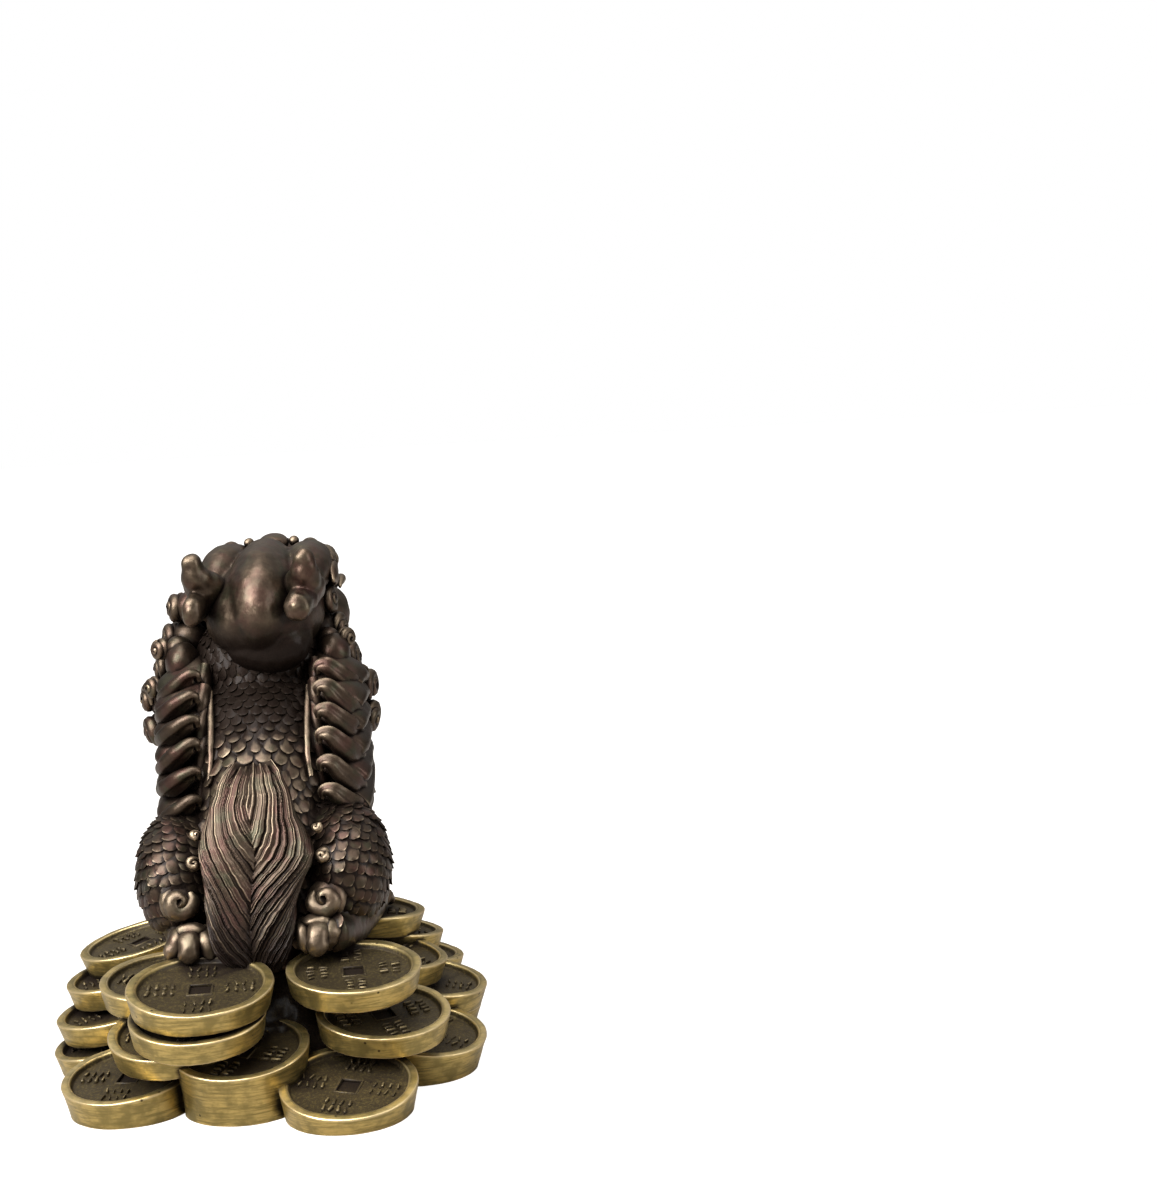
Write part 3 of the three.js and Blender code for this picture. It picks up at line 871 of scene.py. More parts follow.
def feather(side, i):
    """One long feather: it lies back along the flank, and its end curls up into a ridge
    that climbs towards the spine and stops in a blunt hook."""
    down = i / (len(FEATHER_ENDS) - 1)
    end = FEATHER_ENDS[i]
    root = FEATHER_ROOTS[0] + (FEATHER_ROOTS[1] - FEATHER_ROOTS[0]) * down
    reach = 4.2 + 7.4 * sqrt(down)
    climb = (1.0 if side > 0 else 1.25) + 0.15 * sin(i * 2.4 + side)
    wide = 1.0 if side > 0 else 0.78
    slope = (side * cos(radians(FEATHER_SLOPE)), 0, -sin(radians(FEATHER_SLOPE)))
    spine = winged(
        side,
        (10.2, -10.5, root),
        (11.2, -4, (root + end) / 2 + 0.4),
        (10.8, reach - 5, end - 0.6),
        (10.4, reach - 2.6, end - 1.4),
        (10.2, reach - 1.2, end - 2.2),
    )
    hook = winged(
        side,
        (8.2 + 5.0 * wide, reach - 6.0, end - 3.7 * climb),
        (8.2 + 4.9 * wide, reach - 3.4, end - 3.1 * climb),
        (8.2 + 4.1 * wide, reach - 1.4, end - 2.3 * climb),
        (8.2 + 2.6 * wide, reach + 0.1, end - 1.1 * climb),
        (9.2, reach + 0.7, end - 0.1),
        (8.2, reach + 0.6, end),
        (7.9, reach + 0.3, end - 0.9),
    )
    flank = winged(
        side,
        (7.2, reach - 3.4, end + 0.5),
        (7.6, reach - 2.2, end - 1.6),
        (7.8, reach - 1.8, end - 4.2),
    )
    long = [(2.2, 1.0), (3.2, 1.6), (3.6, 1.8), (3.3, 1.5), (2.4, 0.9)]
    hooked = [0.7, (1.1, 1.2), (1.25, 1.3), (1.15, 1.2), (0.92, 0.95), (0.66, 0.7), 0.36]
    return [
        swept(spine, long, slope, sides=40, steps=36, outline=barbed, blunt=0.8),
        swept(hook, hooked, (0, 1, 0), sides=36, steps=40, outline=ridged, blunt=0.9),
        swept(flank, [(0.9, 1.4), (1.1, 1.7), (0.9, 1.4)], (1, 0, 0), steps=12),
    ]


def plume(side, row, k):
    """One of the short feathers in the plate over the roots."""
    z = 50 - 3.1 * k - row * 1.2
    y = -9.2 + row * 3.6 + 0.5 * k
    line = sided(side, (9.6, y - 2, z), (12.9 - 0.25 * k, y + 1.2, z - 0.5), (12.6, y + 4.2, z - 0.9))
    widths = [(1.6, 1.0), (2.0, 1.1), (1.2, 0.6)]
    return swept(line, widths, (0, 0.2, -1), 20, 14, outline=lambda angle, t: 1 + 0.06 * cos(4 * angle))


def make_wings():
    """Both wings: long feathers and the plate over their roots."""
    parts = []
    for side in SIDES:
        for i in range(len(FEATHER_ENDS)):
            parts += feather(side, i)
        parts += [plume(side, row, k) for row in range(2) for k in range(4)]
        parts.append(ball((side * 10.2, -1.6, 53.0), (2.4, 3.0, 3.0), tip=20))
    return ruffle(joined(parts), 1.8, 0.14)


# Mane and hair

MANE = (  # out from the middle, y, height, radius, way the curl faces (x, y, z)
    (9.8, -4.6, 60.4, 2.5, (1, 0.3, 0.15)),
    (10.8, -5.8, 56.2, 2.6, (1, 0.25, 0.0)),
    (12.3, -6.8, 51.9, 2.7, (1, 0.2, 0.1)),
    (14.3, -7.2, 47.8, 2.9, (1, 0.25, 0.0)),
    (14.2, -7.2, 43.4, 2.9, (1, 0.3, -0.2)),
    (9.6, -9.6, 57.4, 2.6, (1, -0.5, 0.0)),
    (10.6, -11.2, 52.8, 2.8, (1, -0.6, 0.0)),
    (11.4, -12.0, 48.2, 2.9, (1, -0.8, 0.0)),
    (12.0, -11.4, 43.6, 2.7, (1, -0.8, -0.3)),
    (7.2, -13.8, 50.2, 2.8, (0.5, -1, -0.1)),
    (7.6, -14.0, 45.2, 2.8, (0.5, -1, -0.2)),
    (2.8, -15.2, 47.6, 2.7, (0.25, -1, -0.2)),
    (3.2, -14.6, 42.8, 2.5, (0.25, -1, -0.4)),
    (12.4, -2.6, 55.0, 1.8, (0.9, 0.7, 0.0)),
    (13.9, -3.6, 49.8, 1.8, (0.9, 0.7, 0.0)),
)
LOCK = ((0.55, 0.5), (1, 0.8), (0.8, 0.62), (0.16, 0.14))  # half widths and heights, by its size
HEEL_TOES = (  # across from the heel's middle, how far it reaches back and down, thickness
    (-1.8, 0.75, 1.05),
    (0.1, 1.0, 1.35),
    (1.8, 0.6, 1.15),
)


def make_mane():
    """Snail curls down both cheeks, over the shoulders and under the chin."""
    dice = random.Random(5)
    model = curl(1.0)
    parts = []
    for side in SIDES:
        for x, y, z, radius, out in MANE:
            way = (side * out[0], out[1], out[2])
            at = (side * x + MANE_SHIFT, y, z)
            parts.append(copy_of(model, facing(at, way, dice.uniform(0, 6.28), radius, mirror=side < 0)))
            heart = (side * x * 0.82 + MANE_SHIFT, y * 0.85, z)
            parts.append(ball(heart, (radius * 0.95, radius * 0.95, radius * 0.95), detail=16))
    bpy.data.objects.remove(model)
    return ruffle(outward(joined(parts)), 1.5, 0.12)


def lock(points, size):
    """A pointed lock of hair, thickest a third of the way along."""
    widths = [(size * a, size * b) for a, b in LOCK]
    return swept(points, widths, (1, 0, 0), 14, 22, outline=lambda angle, t: 1 + 0.10 * cos(3 * angle))


def hock_curl(side, at, lean, spin, size=1.0, **shape):
    """A curl of hair on the back of a hind leg."""
    model = curl(**shape)
    made = copy_of(model, facing(at, (-side * lean[0], 1, lean[1]), spin, size))
    bpy.data.objects.remove(model)
    return made


def heel_toe(side, heel, across, reach, size):
    """One toe at the back of a heel."""
    x = heel - side * 1.4 + side * across
    toe = [
        (x, 18.4, 20.4),
        (x, 18.6 + 2.3 * reach, 20.1 - 0.3 * reach),
        (x + 0.3 * across, 18.6 + 3.1 * reach, 18.9 - 0.6 * reach),
        (x + 0.3 * across, 18.4 + 2.8 * reach, 17.9 - 0.6 * reach),
    ]
    widths = [size, (size * 1.1, size * 1.15), (size, size * 0.9), (size * 0.5, size * 0.4)]
    return swept(toe, widths, (1, 0, 0), 20, 18, blunt=0.8)


def make_leg_hair():
    """The curls at the hocks, the toes of the heels, and the tufts behind the forelegs."""
    parts = []
    for side, x, z in ((1, 10.3, 24.5), (-1, -8.4, 23.6)):
        big = {"radius": 3.1, "turns": 1.25, "hand": -side, "plump": 0.42}
        small = {"radius": 1.3, "turns": 1.2, "hand": side, "plump": 0.42}
        parts += [
            hock_curl(side, (x, 18.2, z), (0.15, 0.2), pi / 2 - side * 0.9, **big),
            hock_curl(side, (side * 8.2, 17.9, 29.2), (0.2, 0.3), 0.6, **small),
            hock_curl(side, (side * 7.7, 17.5, 32.8), (0.3, 0.4), 1.9, 0.7, **small),
        ]
        parts += [heel_toe(side, x, *toe) for toe in HEEL_TOES]
        parts.append(ball((x - side * 1.5, 19.6, 20.9), (2.0, 1.5, 1.2), tip=20, detail=24))
        for k in range(5):
            z = 33 - 3.0 * k
            y = -9.0 - 1.2 * k
            top = [(9.4, y - 1.2, z + 2.6), (10.6, y + 1.8, z + 1.2)]
            end = [(10.4, y + 3.6, z - 1.0), (9.8, y + 3.4, z - 2.8)]
            parts.append(lock(sided(side, *top, *end), 1.2))
    return ruffle(joined(parts), 1.1, 0.26)


# Paws and chest

TOE = ((0.95, 0.9), (1.1, 1.15), (0.85, 0.85))  # half widths and heights, by the paw's size
NAIL = ((0.5, 0.5), (0.36, 0.36), (0.1, 0.1))


def claw_foot(at, heading, size, spread):
    """Four toes with their claws, in front of a paw."""
    parts = []
    turn = Matrix.Rotation(radians(heading), 4, "Z")
    for k in range(4):
        x = (k - 1.5) * spread
        y = 0.35 * abs(k - 1.5)
        toe = [(x * 0.8, 2.0 + y, 0.9), (x, 0.3 + y, 1.5), (x * 1.1, -1.6 + y, 0.4)]
        nail = [(x * 1.1, -1.9 + y, 0.6), (x * 1.14, -3.0 + y, 0.3), (x * 1.16, -3.7 + y, -0.6)]
        for line, widths, sides, steps, blunt in ((toe, TOE, 14, 12, 1.0), (nail, NAIL, 10, 8, 0.55)):
            line = [Vector(at) + turn @ (Vector(p) * size) for p in line]
            widths = [(a * size, b * size) for a, b in widths]
            parts.append(swept(line, widths, turn @ Vector((1, 0, 0)), sides, steps, blunt=blunt))
    return parts


def make_paws():
    """Toes and claws of all four feet, and the plates down the chest."""
    parts = []
    for side in SIDES:
        parts += claw_foot((side * 8.6, -20.6, 15.7), side * 3, 1.0, 1.75)
        parts += claw_foot((side * 13.0, -9.0, 16.0), side * 6, 0.9, 1.6)
    for k in range(8):
        z = 43.2 - 3.3 * k
        y = -15.3 + 0.62 * k
        plate = both_sides((-6.8, y + 5.4, z + 1.6), (-4.2, y + 1.2, z + 0.3), (0, y, z - 0.3))
        widths = [1.0, (1.9, 1.5), (2.1, 1.6), (1.9, 1.5), 1.0]
        parts.append(swept(plate, widths, (0, 0.25, 1), sides=20, steps=40))
    return ruffle(joined(parts), 1.6, 0.10)


# Head

SKULL = (  # middle, half sizes, tip, turn and detail of the ovals under its skin
    ((0, 0.4, -1.2), (8.0, 10.6, 7.5), -10, 0, 48),
    ((-0.5, 1.2, 0.2), (5.3, 11.2, 8.4), -10, 6, 48),
    ((0, -13, 0.9), (6.0, 8.2, 4.0), -14, 0, 40),
    ((0, -10.4, -6.2), (5.4, 8.0, 2.6), 8, 0, 36),
    ((0, -4.8, -5), (6.6, 6, 5.2), 0, 0, 32),
    ((-1.4, 5.2, -5.0), (6.0, 4.9, 4.0), -36, 10, 32),
)
FEATURES = (  # middle, half sizes and tip of the crown, nose, its ridge and the tongue
    ((-0.4, -4.5, 7.7), (2.1, 2.6, 1.4), -6),
    ((0, -20.0, 4.0), (3.1, 2.2, 2.1), -10),
    ((0, -9.5, 6.2), (2.1, 3.6, 1.9), -14),
    ((0, -13.6, 4.6), (1.6, 3.6, 1.3), -16),
    ((0, -12.8, -3.4), (2.8, 5.4, 1.2), 4),
)
UPPER_LIP = both_sides(
    (-6.6, -8.6, -2.6),
    (-6.3, -13, -2.0),
    (-4.6, -17.6, -0.6),
    (-2.0, -20.3, 0.6),
    (0, -20.7, 1.0),
)
LOWER_LIP = both_sides((-6.4, -8.6, -4.4), (-5.6, -13, -4.9), (-3.6, -17.0, -4.8), (0, -18.6, -4.4))
UPPER_LID = ((2.9, -11.9, 3.6), (4.6, -12.9, 5.8), (6.9, -10.8, 5.2), (7.4, -9.4, 3.6))
LOWER_LID = ((2.9, -12.0, 3.4), (4.6, -12.9, 2.3), (6.6, -11.4, 2.4), (7.4, -9.4, 3.4))
EAR = ((7.4, -5, 1.8), (8.6, -3.6, 3.0), (9.2, -1.8, 3.2), (9.5, -0.2, 2.4))
WHISKER = ((4.6, -17.0, 0.6), (6.8, -15.6, 1.4), (7.8, -12.6, 1.8), (8.2, -9.8, 0.8))
LOBE = ((4.6, -9, 3.2), (5.5, -5, 4.3), (5.9, -1, 4.3), (6.3, 3.2, 2.4), (6.7, 7.0, -1.2))
BEAM = ((5.4, -6, 4.4), (6.6, -1, 3.2), (7.1, 5, 1.4), (7.1, 9.6, 0.3), (7.1, 11.3, -0.1))


def skull():
    """The skull with its dome between two swept-back lobes, and the muzzle and jaws."""
    parts = [head_ball(*row) for row in SKULL]
    for side in SIDES:
        widths = [(2.6, 3.0), (3.3, 3.6), (3.2, 3.7), (2.5, 2.9), (0.6, 0.9)]
        parts.append(head_strip(sided(side, *LOBE), widths, (1, 0, 0.35 * side), sides=36, steps=40))
        parts.append(head_ball((side * 6.6, -8, -2.6), (2.8, 4.2, 3.8), turn=side * 12))
        parts.append(head_ball((side * 3.4, -16.2, 0.4), (2.9, 3.8, 2.8), tip=-12))
    head = fused(parts, HEAD_GRAIN, smoothing=4)
    return ruffle(ruffle(head, 3.2, 0.18), 1.1, 0.06)


def teeth(line, shift, way):
    """A row of teeth along a lip, with two fangs."""
    parts = []
    spots, _ = along([in_head(*p) for p in line], 17)
    for k, spot in enumerate(spots[2:-2]):
        fang = k in (3, 9)
        inner = Vector(spot) + Vector((0, 0.7, shift + (0.5 * way if fang else 0)))
        parts.append(ball(inner, (0.5, 0.45, 1.5) if fang else (0.58, 0.45, 0.85), detail=12))
    return parts


def brow_strand(side, k):
    """One of the strands of a brow."""
    line = sided(
        side,
        (1.6 + k * 0.8, -12.8 + k * 0.8, 5.5),
        (4.2 + k, -11.2 + k, 6.4 - k * 0.2),
        (6.8 + k * 0.5, -8.4 + k, 5.8),
        (8.4 + k * 0.1, -6.0 + k * 1.2, 5.2 - k),
        (8.6, -5.2 + k * 1.2, 3.4 - k),
    )
    return head_strip(line, (0.5, 0.95, 0.9, 0.75, 0.25), (0, 1, 0))


def beard_lock(side, k):
    """One of the locks of the beard, along the jaw."""
    z = -3.0 - 1.6 * k
    line = sided(
        side,
        (6.6 - k * 1.2, -9.4 - k * 1.1, z + 1.0),
        (7.4 - k * 1.3, -9.0 - k * 1.2, z - 1.2),
        (6.9 - k * 1.35, -8.2 - k * 1.2, z - 3.4),
        (6.4 - k * 1.3, -8.8 - k * 1.3, z - 5.0),
    )
    return head_strip(line, (0.8, 1.25, 1.0, 0.2), (1, 0, 0))


def make_face():
    """Crown, nose, lips, teeth, tongue, eyes, brows, ears and beard."""
    parts = [head_ball(*row) for row in FEATURES]
    parts.append(head_strip(UPPER_LIP, (0.5, 1.0, 1.15, 1.2, 1.2, 1.2, 1.15, 1.0, 0.5), steps=60))
    parts.append(head_strip(LOWER_LIP, (0.5, 0.9, 1.0, 1.0, 1.0, 0.9, 0.5), steps=60))
    parts += teeth(UPPER_LIP, -1.0, -1) + teeth(LOWER_LIP, 0.9, 1)
    for side in SIDES:
        for x, y, z, radius in ((5.6, -4.4, 7.0, 1.3), (3.2, -5.0, 7.9, 0.7), (8.2, -3.6, 5.2, 1.0)):
            parts.append(head_ball((side * x, y, z), (radius, radius * 1.2, radius), detail=20))
        parts.append(head_ball((side * 2.4, -20.2, 3.8), (1.5, 1.7, 1.5), detail=20))
        parts.append(head_ball((side * 5.0, -10.6, 4.0), (2.0, 2.1, 2.0)))
        parts.append(head_strip(sided(side, *UPPER_LID), (0.35, 0.75, 0.7, 0.3), (0, 1, 0)))
        parts.append(head_strip(sided(side, *LOWER_LID), (0.3, 0.55, 0.55, 0.3), (0, 1, 0)))
        parts += [brow_strand(side, k) for k in range(3)]
        widths = [(0.9, 1.2), (0.9, 2.0), (0.7, 1.6), (0.25, 0.3)]
        parts.append(head_strip(sided(side, *EAR), widths, (1, -0.5, 0), sides=20, steps=24))
        parts += [beard_lock(side, k) for k in range(5)]
        parts.append(head_strip(sided(side, *WHISKER), (0.8, 0.85, 0.65, 0.2)))
    return ruffle(joined(parts), 1.5, 0.07)


def make_antlers():
    """Antlers: each runs back along the skull to a blunt knob, with one upright tine."""
    parts = []
    for side, knob, out in ((1, (1.3, 2.0), 0.0), (-1, (1.75, 1.9), 0.6)):
        widths = [1.3, 1.8, (2.0, 2.3), (knob[0] + 0.1, knob[1] + 0.1), knob]
        parts.append(head_strip(sided(side, *BEAM), widths, (1, 0, 0), sides=28, steps=40))
        parts.append(head_ball((side * 7.1, 11.4, -0.1), (knob[0], 1.1, knob[1])))
        parts.append(head_ball((side * 7.1, 12.1, 0.1), (0.7, 0.6, 0.7)))
        tine = ((5.9 + out, 4.4, 1.7), (6.5 + out, 6.8, 2.7), (7.1 + out, 8.4, 4.3), (7.3 + out, 9.2, 6.2))
        tine = sided(side, *tine)
        widths = [(2.9, 2.3), (2.7, 2.4), 2.0, 1.4]
        parts.append(head_strip(tine, widths, (1, 0, 0), sides=28, steps=30, blunt=0.1))
        parts.append(ball(in_head(*tine[-1]), (1.4, 1.4, 1.4)))
    return ruffle(fused(parts, ANTLER_GRAIN, smoothing=3), 1.3, 0.16)


# Wear, and painted shade in the hollows, under the skull and down the tail, measured on the finished shapes

RAYS = 9  # lines of sight tried from each corner
GOLDEN_ANGLE = 2.39996  # radians from one line to the next, which spreads them evenly
REACH = 0.0032  # how far they look, in metres
CLEAR = 0.00004  # how far from the corner they start, in metres
NAPE = (41.5, 50.5)  # millimetres above the floor over which the skull shades the back
CHIN = (55.0, 62.0)  # and over which painted shade darkens the back of the skull towards the neck
TIP = (17.0, 32.0)  # and over which painted shade darkens the tail downwards
HAUNCH_DULL = 0.45  # how much less the haunches are brightened than the back


def mean_at_corners(ends, count, firsts, seconds):
    """The mean at each corner of what its edges say there, at their two ends."""
    a, b = ends
    shares = np.maximum(np.bincount(a, minlength=count) + np.bincount(b, minlength=count), 1)
    return (np.bincount(a, firsts, count) + np.bincount(b, seconds, count)) / shares


def evened(thing, values, rounds):
    """Values per corner, evened out over their neighbours."""
    a, b = edges_of(thing)
    for _ in range(rounds):
        values = 0.5 * values + 0.5 * mean_at_corners((a, b), len(values), values[b], values[a])
    return values


def sharpness_of(thing, rounds):
    """How sharply the surface stands out at each corner: one over its radius in
    millimetres, positive on ridges and negative in grooves, evened over its neighbours."""
    points = points_of(thing) * 1000
    normals = normals_of(thing)
    a, b = edges_of(thing)
    reach = points[b] - points[a]
    square = np.maximum((reach**2).sum(1), 1e-6)
    seen_a = -2 * (reach * normals[a]).sum(1) / square
    seen_b = 2 * (reach * normals[b]).sum(1) / square
    sharp = mean_at_corners((a, b), len(points), seen_a, seen_b)
    return evened(thing, np.clip(sharp, -4, 4), rounds)


def rising(values, low, high):
    """0 below `low`, 1 above `high` and even between."""
    return np.clip((values - low) / (high - low), 0, 1)


def shade_by_height(thing, places):
    """Painted shade where the skull overhangs the back, under the back of the skull, and down the tail."""
    height = places[:, 2] * 1000
    if thing.name == "scale_coat":
        return 0.7 * rising(height, *NAPE)
    if thing.name == "head":
        return 0.5 * rising(places[:, 1] * 1000, 0, 3) * (1 - rising(height, *CHIN))
    if thing.name == "tail":
        return 0.4 * (1 - rising(height, *TIP))
    return 0.0 * height


def weather(things):
    """Stores on each piece how sharp its ridges are, for wear, and how shut in each corner is, for the
    painted shade in its hollows.
    """
    points, faces = [], []
    for thing in things:
        start = len(points)
        points += points_of(thing).tolist()
        faces += [tuple(start + v for v in p.vertices) for p in thing.data.polygons]
    tree = BVHTree.FromPolygons(points, faces)
    rays = []
    for k in range(RAYS):
        height = sqrt(1 - (k + 0.5) / RAYS)
        angle = k * GOLDEN_ANGLE
        flat = sqrt(1 - height * height)
        rays.append((flat * cos(angle), flat * sin(angle), height))
    for thing in things:
        rounds, share, more, shade_strength = thing["wear"]
        places = points_of(thing)
        rubbed = sharpness_of(thing, int(rounds)) * share + more
        if thing.name == "scale_coat":
            rubbed -= HAUNCH_DULL * rising(np.abs(places[:, 0]) * 1000, 6, 9)
        keep_values(thing, "worn", rubbed)
        normals = normals_of(thing)
        first = np.cross(normals, (0.31, 0.52, 0.79))
        first /= np.maximum(np.linalg.norm(first, axis=1), 1e-9)[:, None]
        second = np.cross(normals, first)
        starts = places + normals * CLEAR
        shut = np.zeros(len(places))
        for x, y, z in rays:
            ways = first * x + second * y + normals * z
            for i in range(len(places)):
                far = tree.ray_cast(starts[i], ways[i], REACH)[3]
                if far is not None:
                    shut[i] += 1 - far / REACH
        # Painted shade: the more shut in a corner is, the darker its colour, with the shade under the skull
        # and down the tail added
        hollow_shade = evened(thing, shut / RAYS, 1) + shade_by_height(thing, places)
        keep_values(thing, "hollow_shade", hollow_shade * shade_strength)


# Finishes

STORED = ("worn", "hollow_shade", "field")  # the numbers that the pieces keep for them


def arithmetic(operation, turned=False):
    """A method of Wire that adds a Math node, for one of Python's signs."""

    def method(self, other):
        values = (other, self) if turned else (self, other)
        return self.node("ShaderNodeMath", {"operation": operation}, dict(enumerate(values)))

    return method


class Wire:
    """A shader value. Arithmetic on it adds the nodes that work it out."""

    def __init__(self, tree, socket=None):
        self.tree = tree
        self.socket = socket

    __add__ = arithmetic("ADD")
    __radd__ = arithmetic("ADD", True)
    __sub__ = arithmetic("SUBTRACT")
    __rsub__ = arithmetic("SUBTRACT", True)
    __mul__ = arithmetic("MULTIPLY")
    __rmul__ = arithmetic("MULTIPLY", True)

    def node(self, kind, settings=None, inputs=None, out=0):
        """Adds a node: its settings first, then values or links for its sockets."""
        made = self.tree.nodes.new(kind)
        for name, value in (settings or {}).items():
            setattr(made, name, value)
        for name, value in (inputs or {}).items():
            if isinstance(value, Wire):
                self.tree.links.new(value.socket, made.inputs[name])
            else:
                made.inputs[name].default_value = value
        return Wire(self.tree, made.outputs[out])

    def rise(self, low, high):
        """0 below `low`, 1 above `high` and smooth between."""
        return self.node(
            "ShaderNodeMapRange",
            {"interpolation_type": "SMOOTHSTEP"},
            {"Value": self, "From Min": low, "From Max": high},
        )

    def held(self):
        """Kept between 0 and 1."""
        return self.node("ShaderNodeClamp", {}, {"Value": self})

    def stretched(self, x, y, z):
        """A place with its three numbers scaled."""
        return self.node("ShaderNodeVectorMath", {"operation": "MULTIPLY"}, {0: self, 1: (x, y, z)})

    def cloud(self, size, detail=3.0, rough=0.55):
        """Noise from 0 to 1 over this position, with lumps of a size in millimetres."""
        inputs = {"Vector": self, "Scale": 1.0 / size, "Detail": detail, "Roughness": rough}
        return self.node("ShaderNodeTexNoise", {}, inputs)

    def specks(self, size):
        """Distance to scattered points over this position, in units of `size`."""
        return self.node("ShaderNodeTexVoronoi", {"feature": "F1"}, {"Vector": self, "Scale": 1.0 / size})

    def tinted(self, first, second):
        """The first colour where this is 0 and the second where it is 1."""
        inputs = {0: self}
        for index, colour in ((6, first), (7, second)):
            inputs[index] = colour if isinstance(colour, Wire) else (*colour, 1.0)
        return self.node("ShaderNodeMix", {"data_type": "RGBA"}, inputs, out=2)


def new_finish(name, metallic, coat, coat_roughness):
    """An empty finish: its shader, the place in millimetres, and the stored values."""
    finish = bpy.data.materials.new(name)
    finish.use_nodes = True
    base = Wire(finish.node_tree)
    shader = finish.node_tree.nodes["Principled BSDF"]
    shader.inputs["Metallic"].default_value = metallic
    shader.inputs["Coat Weight"].default_value = coat
    shader.inputs["Coat Roughness"].default_value = coat_roughness
    place = base.node("ShaderNodeTexCoord", out="Object").stretched(1000, 1000, 1000)
    stored = [base.node("ShaderNodeAttribute", {"attribute_name": kept}, out=2) for kept in STORED]
    return finish, shader, place, *stored


def plug(shader, **inputs):
    """Links values to the shader's sockets, given with _ for a space."""
    for name, wire in inputs.items():
        wire.tree.links.new(wire.socket, shader.inputs[name.replace("_", " ")])


def bump(height, strength, distance):
    """A fine unevenness that is too small to model."""
    return height.node("ShaderNodeBump", {}, {"Height": height, "Strength": strength, "Distance": distance})


def beast_finish(colours):
    """Dark antique bronze, rubbed bright on what stands out, with painted shade, near black, in the hollows.
    """
    finish, shader, place, worn, hollow_shade, _ = new_finish("antique_bronze", 0.95, 0.12, 0.25)
    patch = place.cloud(2.2, 3.0)
    grain = place.cloud(0.45, 4.0, 0.65)
    rubbed = (worn + (patch - 0.5) * 0.7 + (grain - 0.5) * 0.5).rise(0.1, 2.2)
    # Painted shade: hollows, the back under the skull and the foot of the tail darken towards black
    painted_shade = (hollow_shade + (grain - 0.5) * 0.12).rise(0.12, 0.50)
    ground = (place.cloud(3.4, 2.0).rise(0.44, 0.66) * 0.7).tinted(colours.bronze, colours.red)
    ground = (place.stretched(1, 1, 1.3).cloud(2.6, 2.0).rise(0.50, 0.70) * 0.8).tinted(ground, colours.green)
    colour = (rubbed * (0.4 + patch * 0.7)).held().tinted(ground, colours.bright)
    colour = (painted_shade * 0.97).tinted(colour, colours.black)
    roughness = 0.33 + grain * 0.16 + painted_shade * 0.25
    plug(shader, Base_Color=colour, Roughness=roughness, Normal=bump(grain, 0.4, 0.00008))
    return finish


def coin_finish(colours):
    """Antique gold on borders and walls and dark brown in the fields, with painted shade darkening the tops
    of the borders, and painted shade, near black, in the crevices and over the mound.
    """
    finish, shader, place, worn, hollow_shade, field = new_finish("antique_gold", 0.9, 0.12, 0.3)
    patch = place.cloud(2.4, 3.0)
    grain = place.cloud(0.35, 4.0, 0.65)
    streak = place.stretched(0.25, 0.25, 3.0).cloud(1.0, 4.0, 0.7)
    pits = 1 - place.specks(2.4).rise(0.05, 0.10)
    gold = (streak.rise(0.40, 0.66) * 0.95).tinted(colours.gold, colours.gold_dull)
    gold = (patch.rise(0.42, 0.66) * 0.9).tinted(gold, colours.gold_dull)
    rubbed = (worn + (grain - 0.5) * 0.5).rise(0.5, 1.8)
    # The stored field value carries painted shade on the border tops as well as the dark of the sunk fields
    sunk = (field * 1.2 - rubbed * 0.4 + (grain - 0.5) * 0.3).rise(0.2, 0.8)
    # Painted shade over the mound between the coins, where it is darker than any field
    shaded_mound = field.rise(1.1, 1.5)
    # Painted shade: crevices and the mound darken towards black
    painted_shade = (hollow_shade + shaded_mound + (patch - 0.5) * 0.2 + (streak - 0.5) * 0.3).rise(0.10, 0.46)
    crumbs = shaded_mound * grain.rise(0.46, 0.60)
    dust = sunk * grain.rise(0.50, 0.62)
    colour = (rubbed * 0.65).tinted(gold, colours.gold_bright)
    colour = (sunk * 0.97).tinted(colour, colours.field)
    colour = (dust * 0.26).tinted(colour, colours.gold_dull)
    colour = (painted_shade * 0.93).tinted(colour, colours.black)
    colour = (crumbs * 0.7).tinted(colour, colours.field)
    colour = (pits * 0.85).tinted(colour, colours.black)
    roughness = 0.27 + grain * 0.16 + sunk * 0.22 + painted_shade * 0.2 + shaded_mound * 0.2
    height = grain * (1 + sunk * 1.6) + streak * 0.6
    plug(shader, Base_Color=colour, Roughness=roughness, Normal=bump(height, 0.4, 0.00008))
    return finish


# Finishing a piece

FINISHES = {}
DONE = []
LOOKS = {  # finish, angle up to which it is smooth, and its wear and shade: how many rounds its ridges are evened over, a factor and a sum on them, and how dark the painted shade in its hollows is
    # ridges are evened over, a factor and a sum on them, how much dirt its hollows hold
    "coin_bed": (coin_finish, 38, (1, 1.0, 0.0, 1.0)),
    "body": (beast_finish, 60, (6, 0.6, -0.2, 1.0)),
    "scale_coat": (beast_finish, 50, (1, 0.6, 0.35, 1.3)),
    "tail": (beast_finish, 70, (3, 0.45, -0.1, 1.0)),
    "wings": (beast_finish, 55, (5, 0.75, -0.22, 0.98)),
    "mane": (beast_finish, 55, (4, 0.7, 0.0, 1.0)),
    "leg_hair": (beast_finish, 55, (4, 0.65, 0.45, 0.85)),
    "paws_and_chest": (beast_finish, 55, (4, 0.8, 0.1, 1.0)),
    "head": (beast_finish, 55, (10, 0.6, 0.3, 1.0)),
    "antlers": (beast_finish, 60, (8, 0.5, 0.2, 1.0)),
}


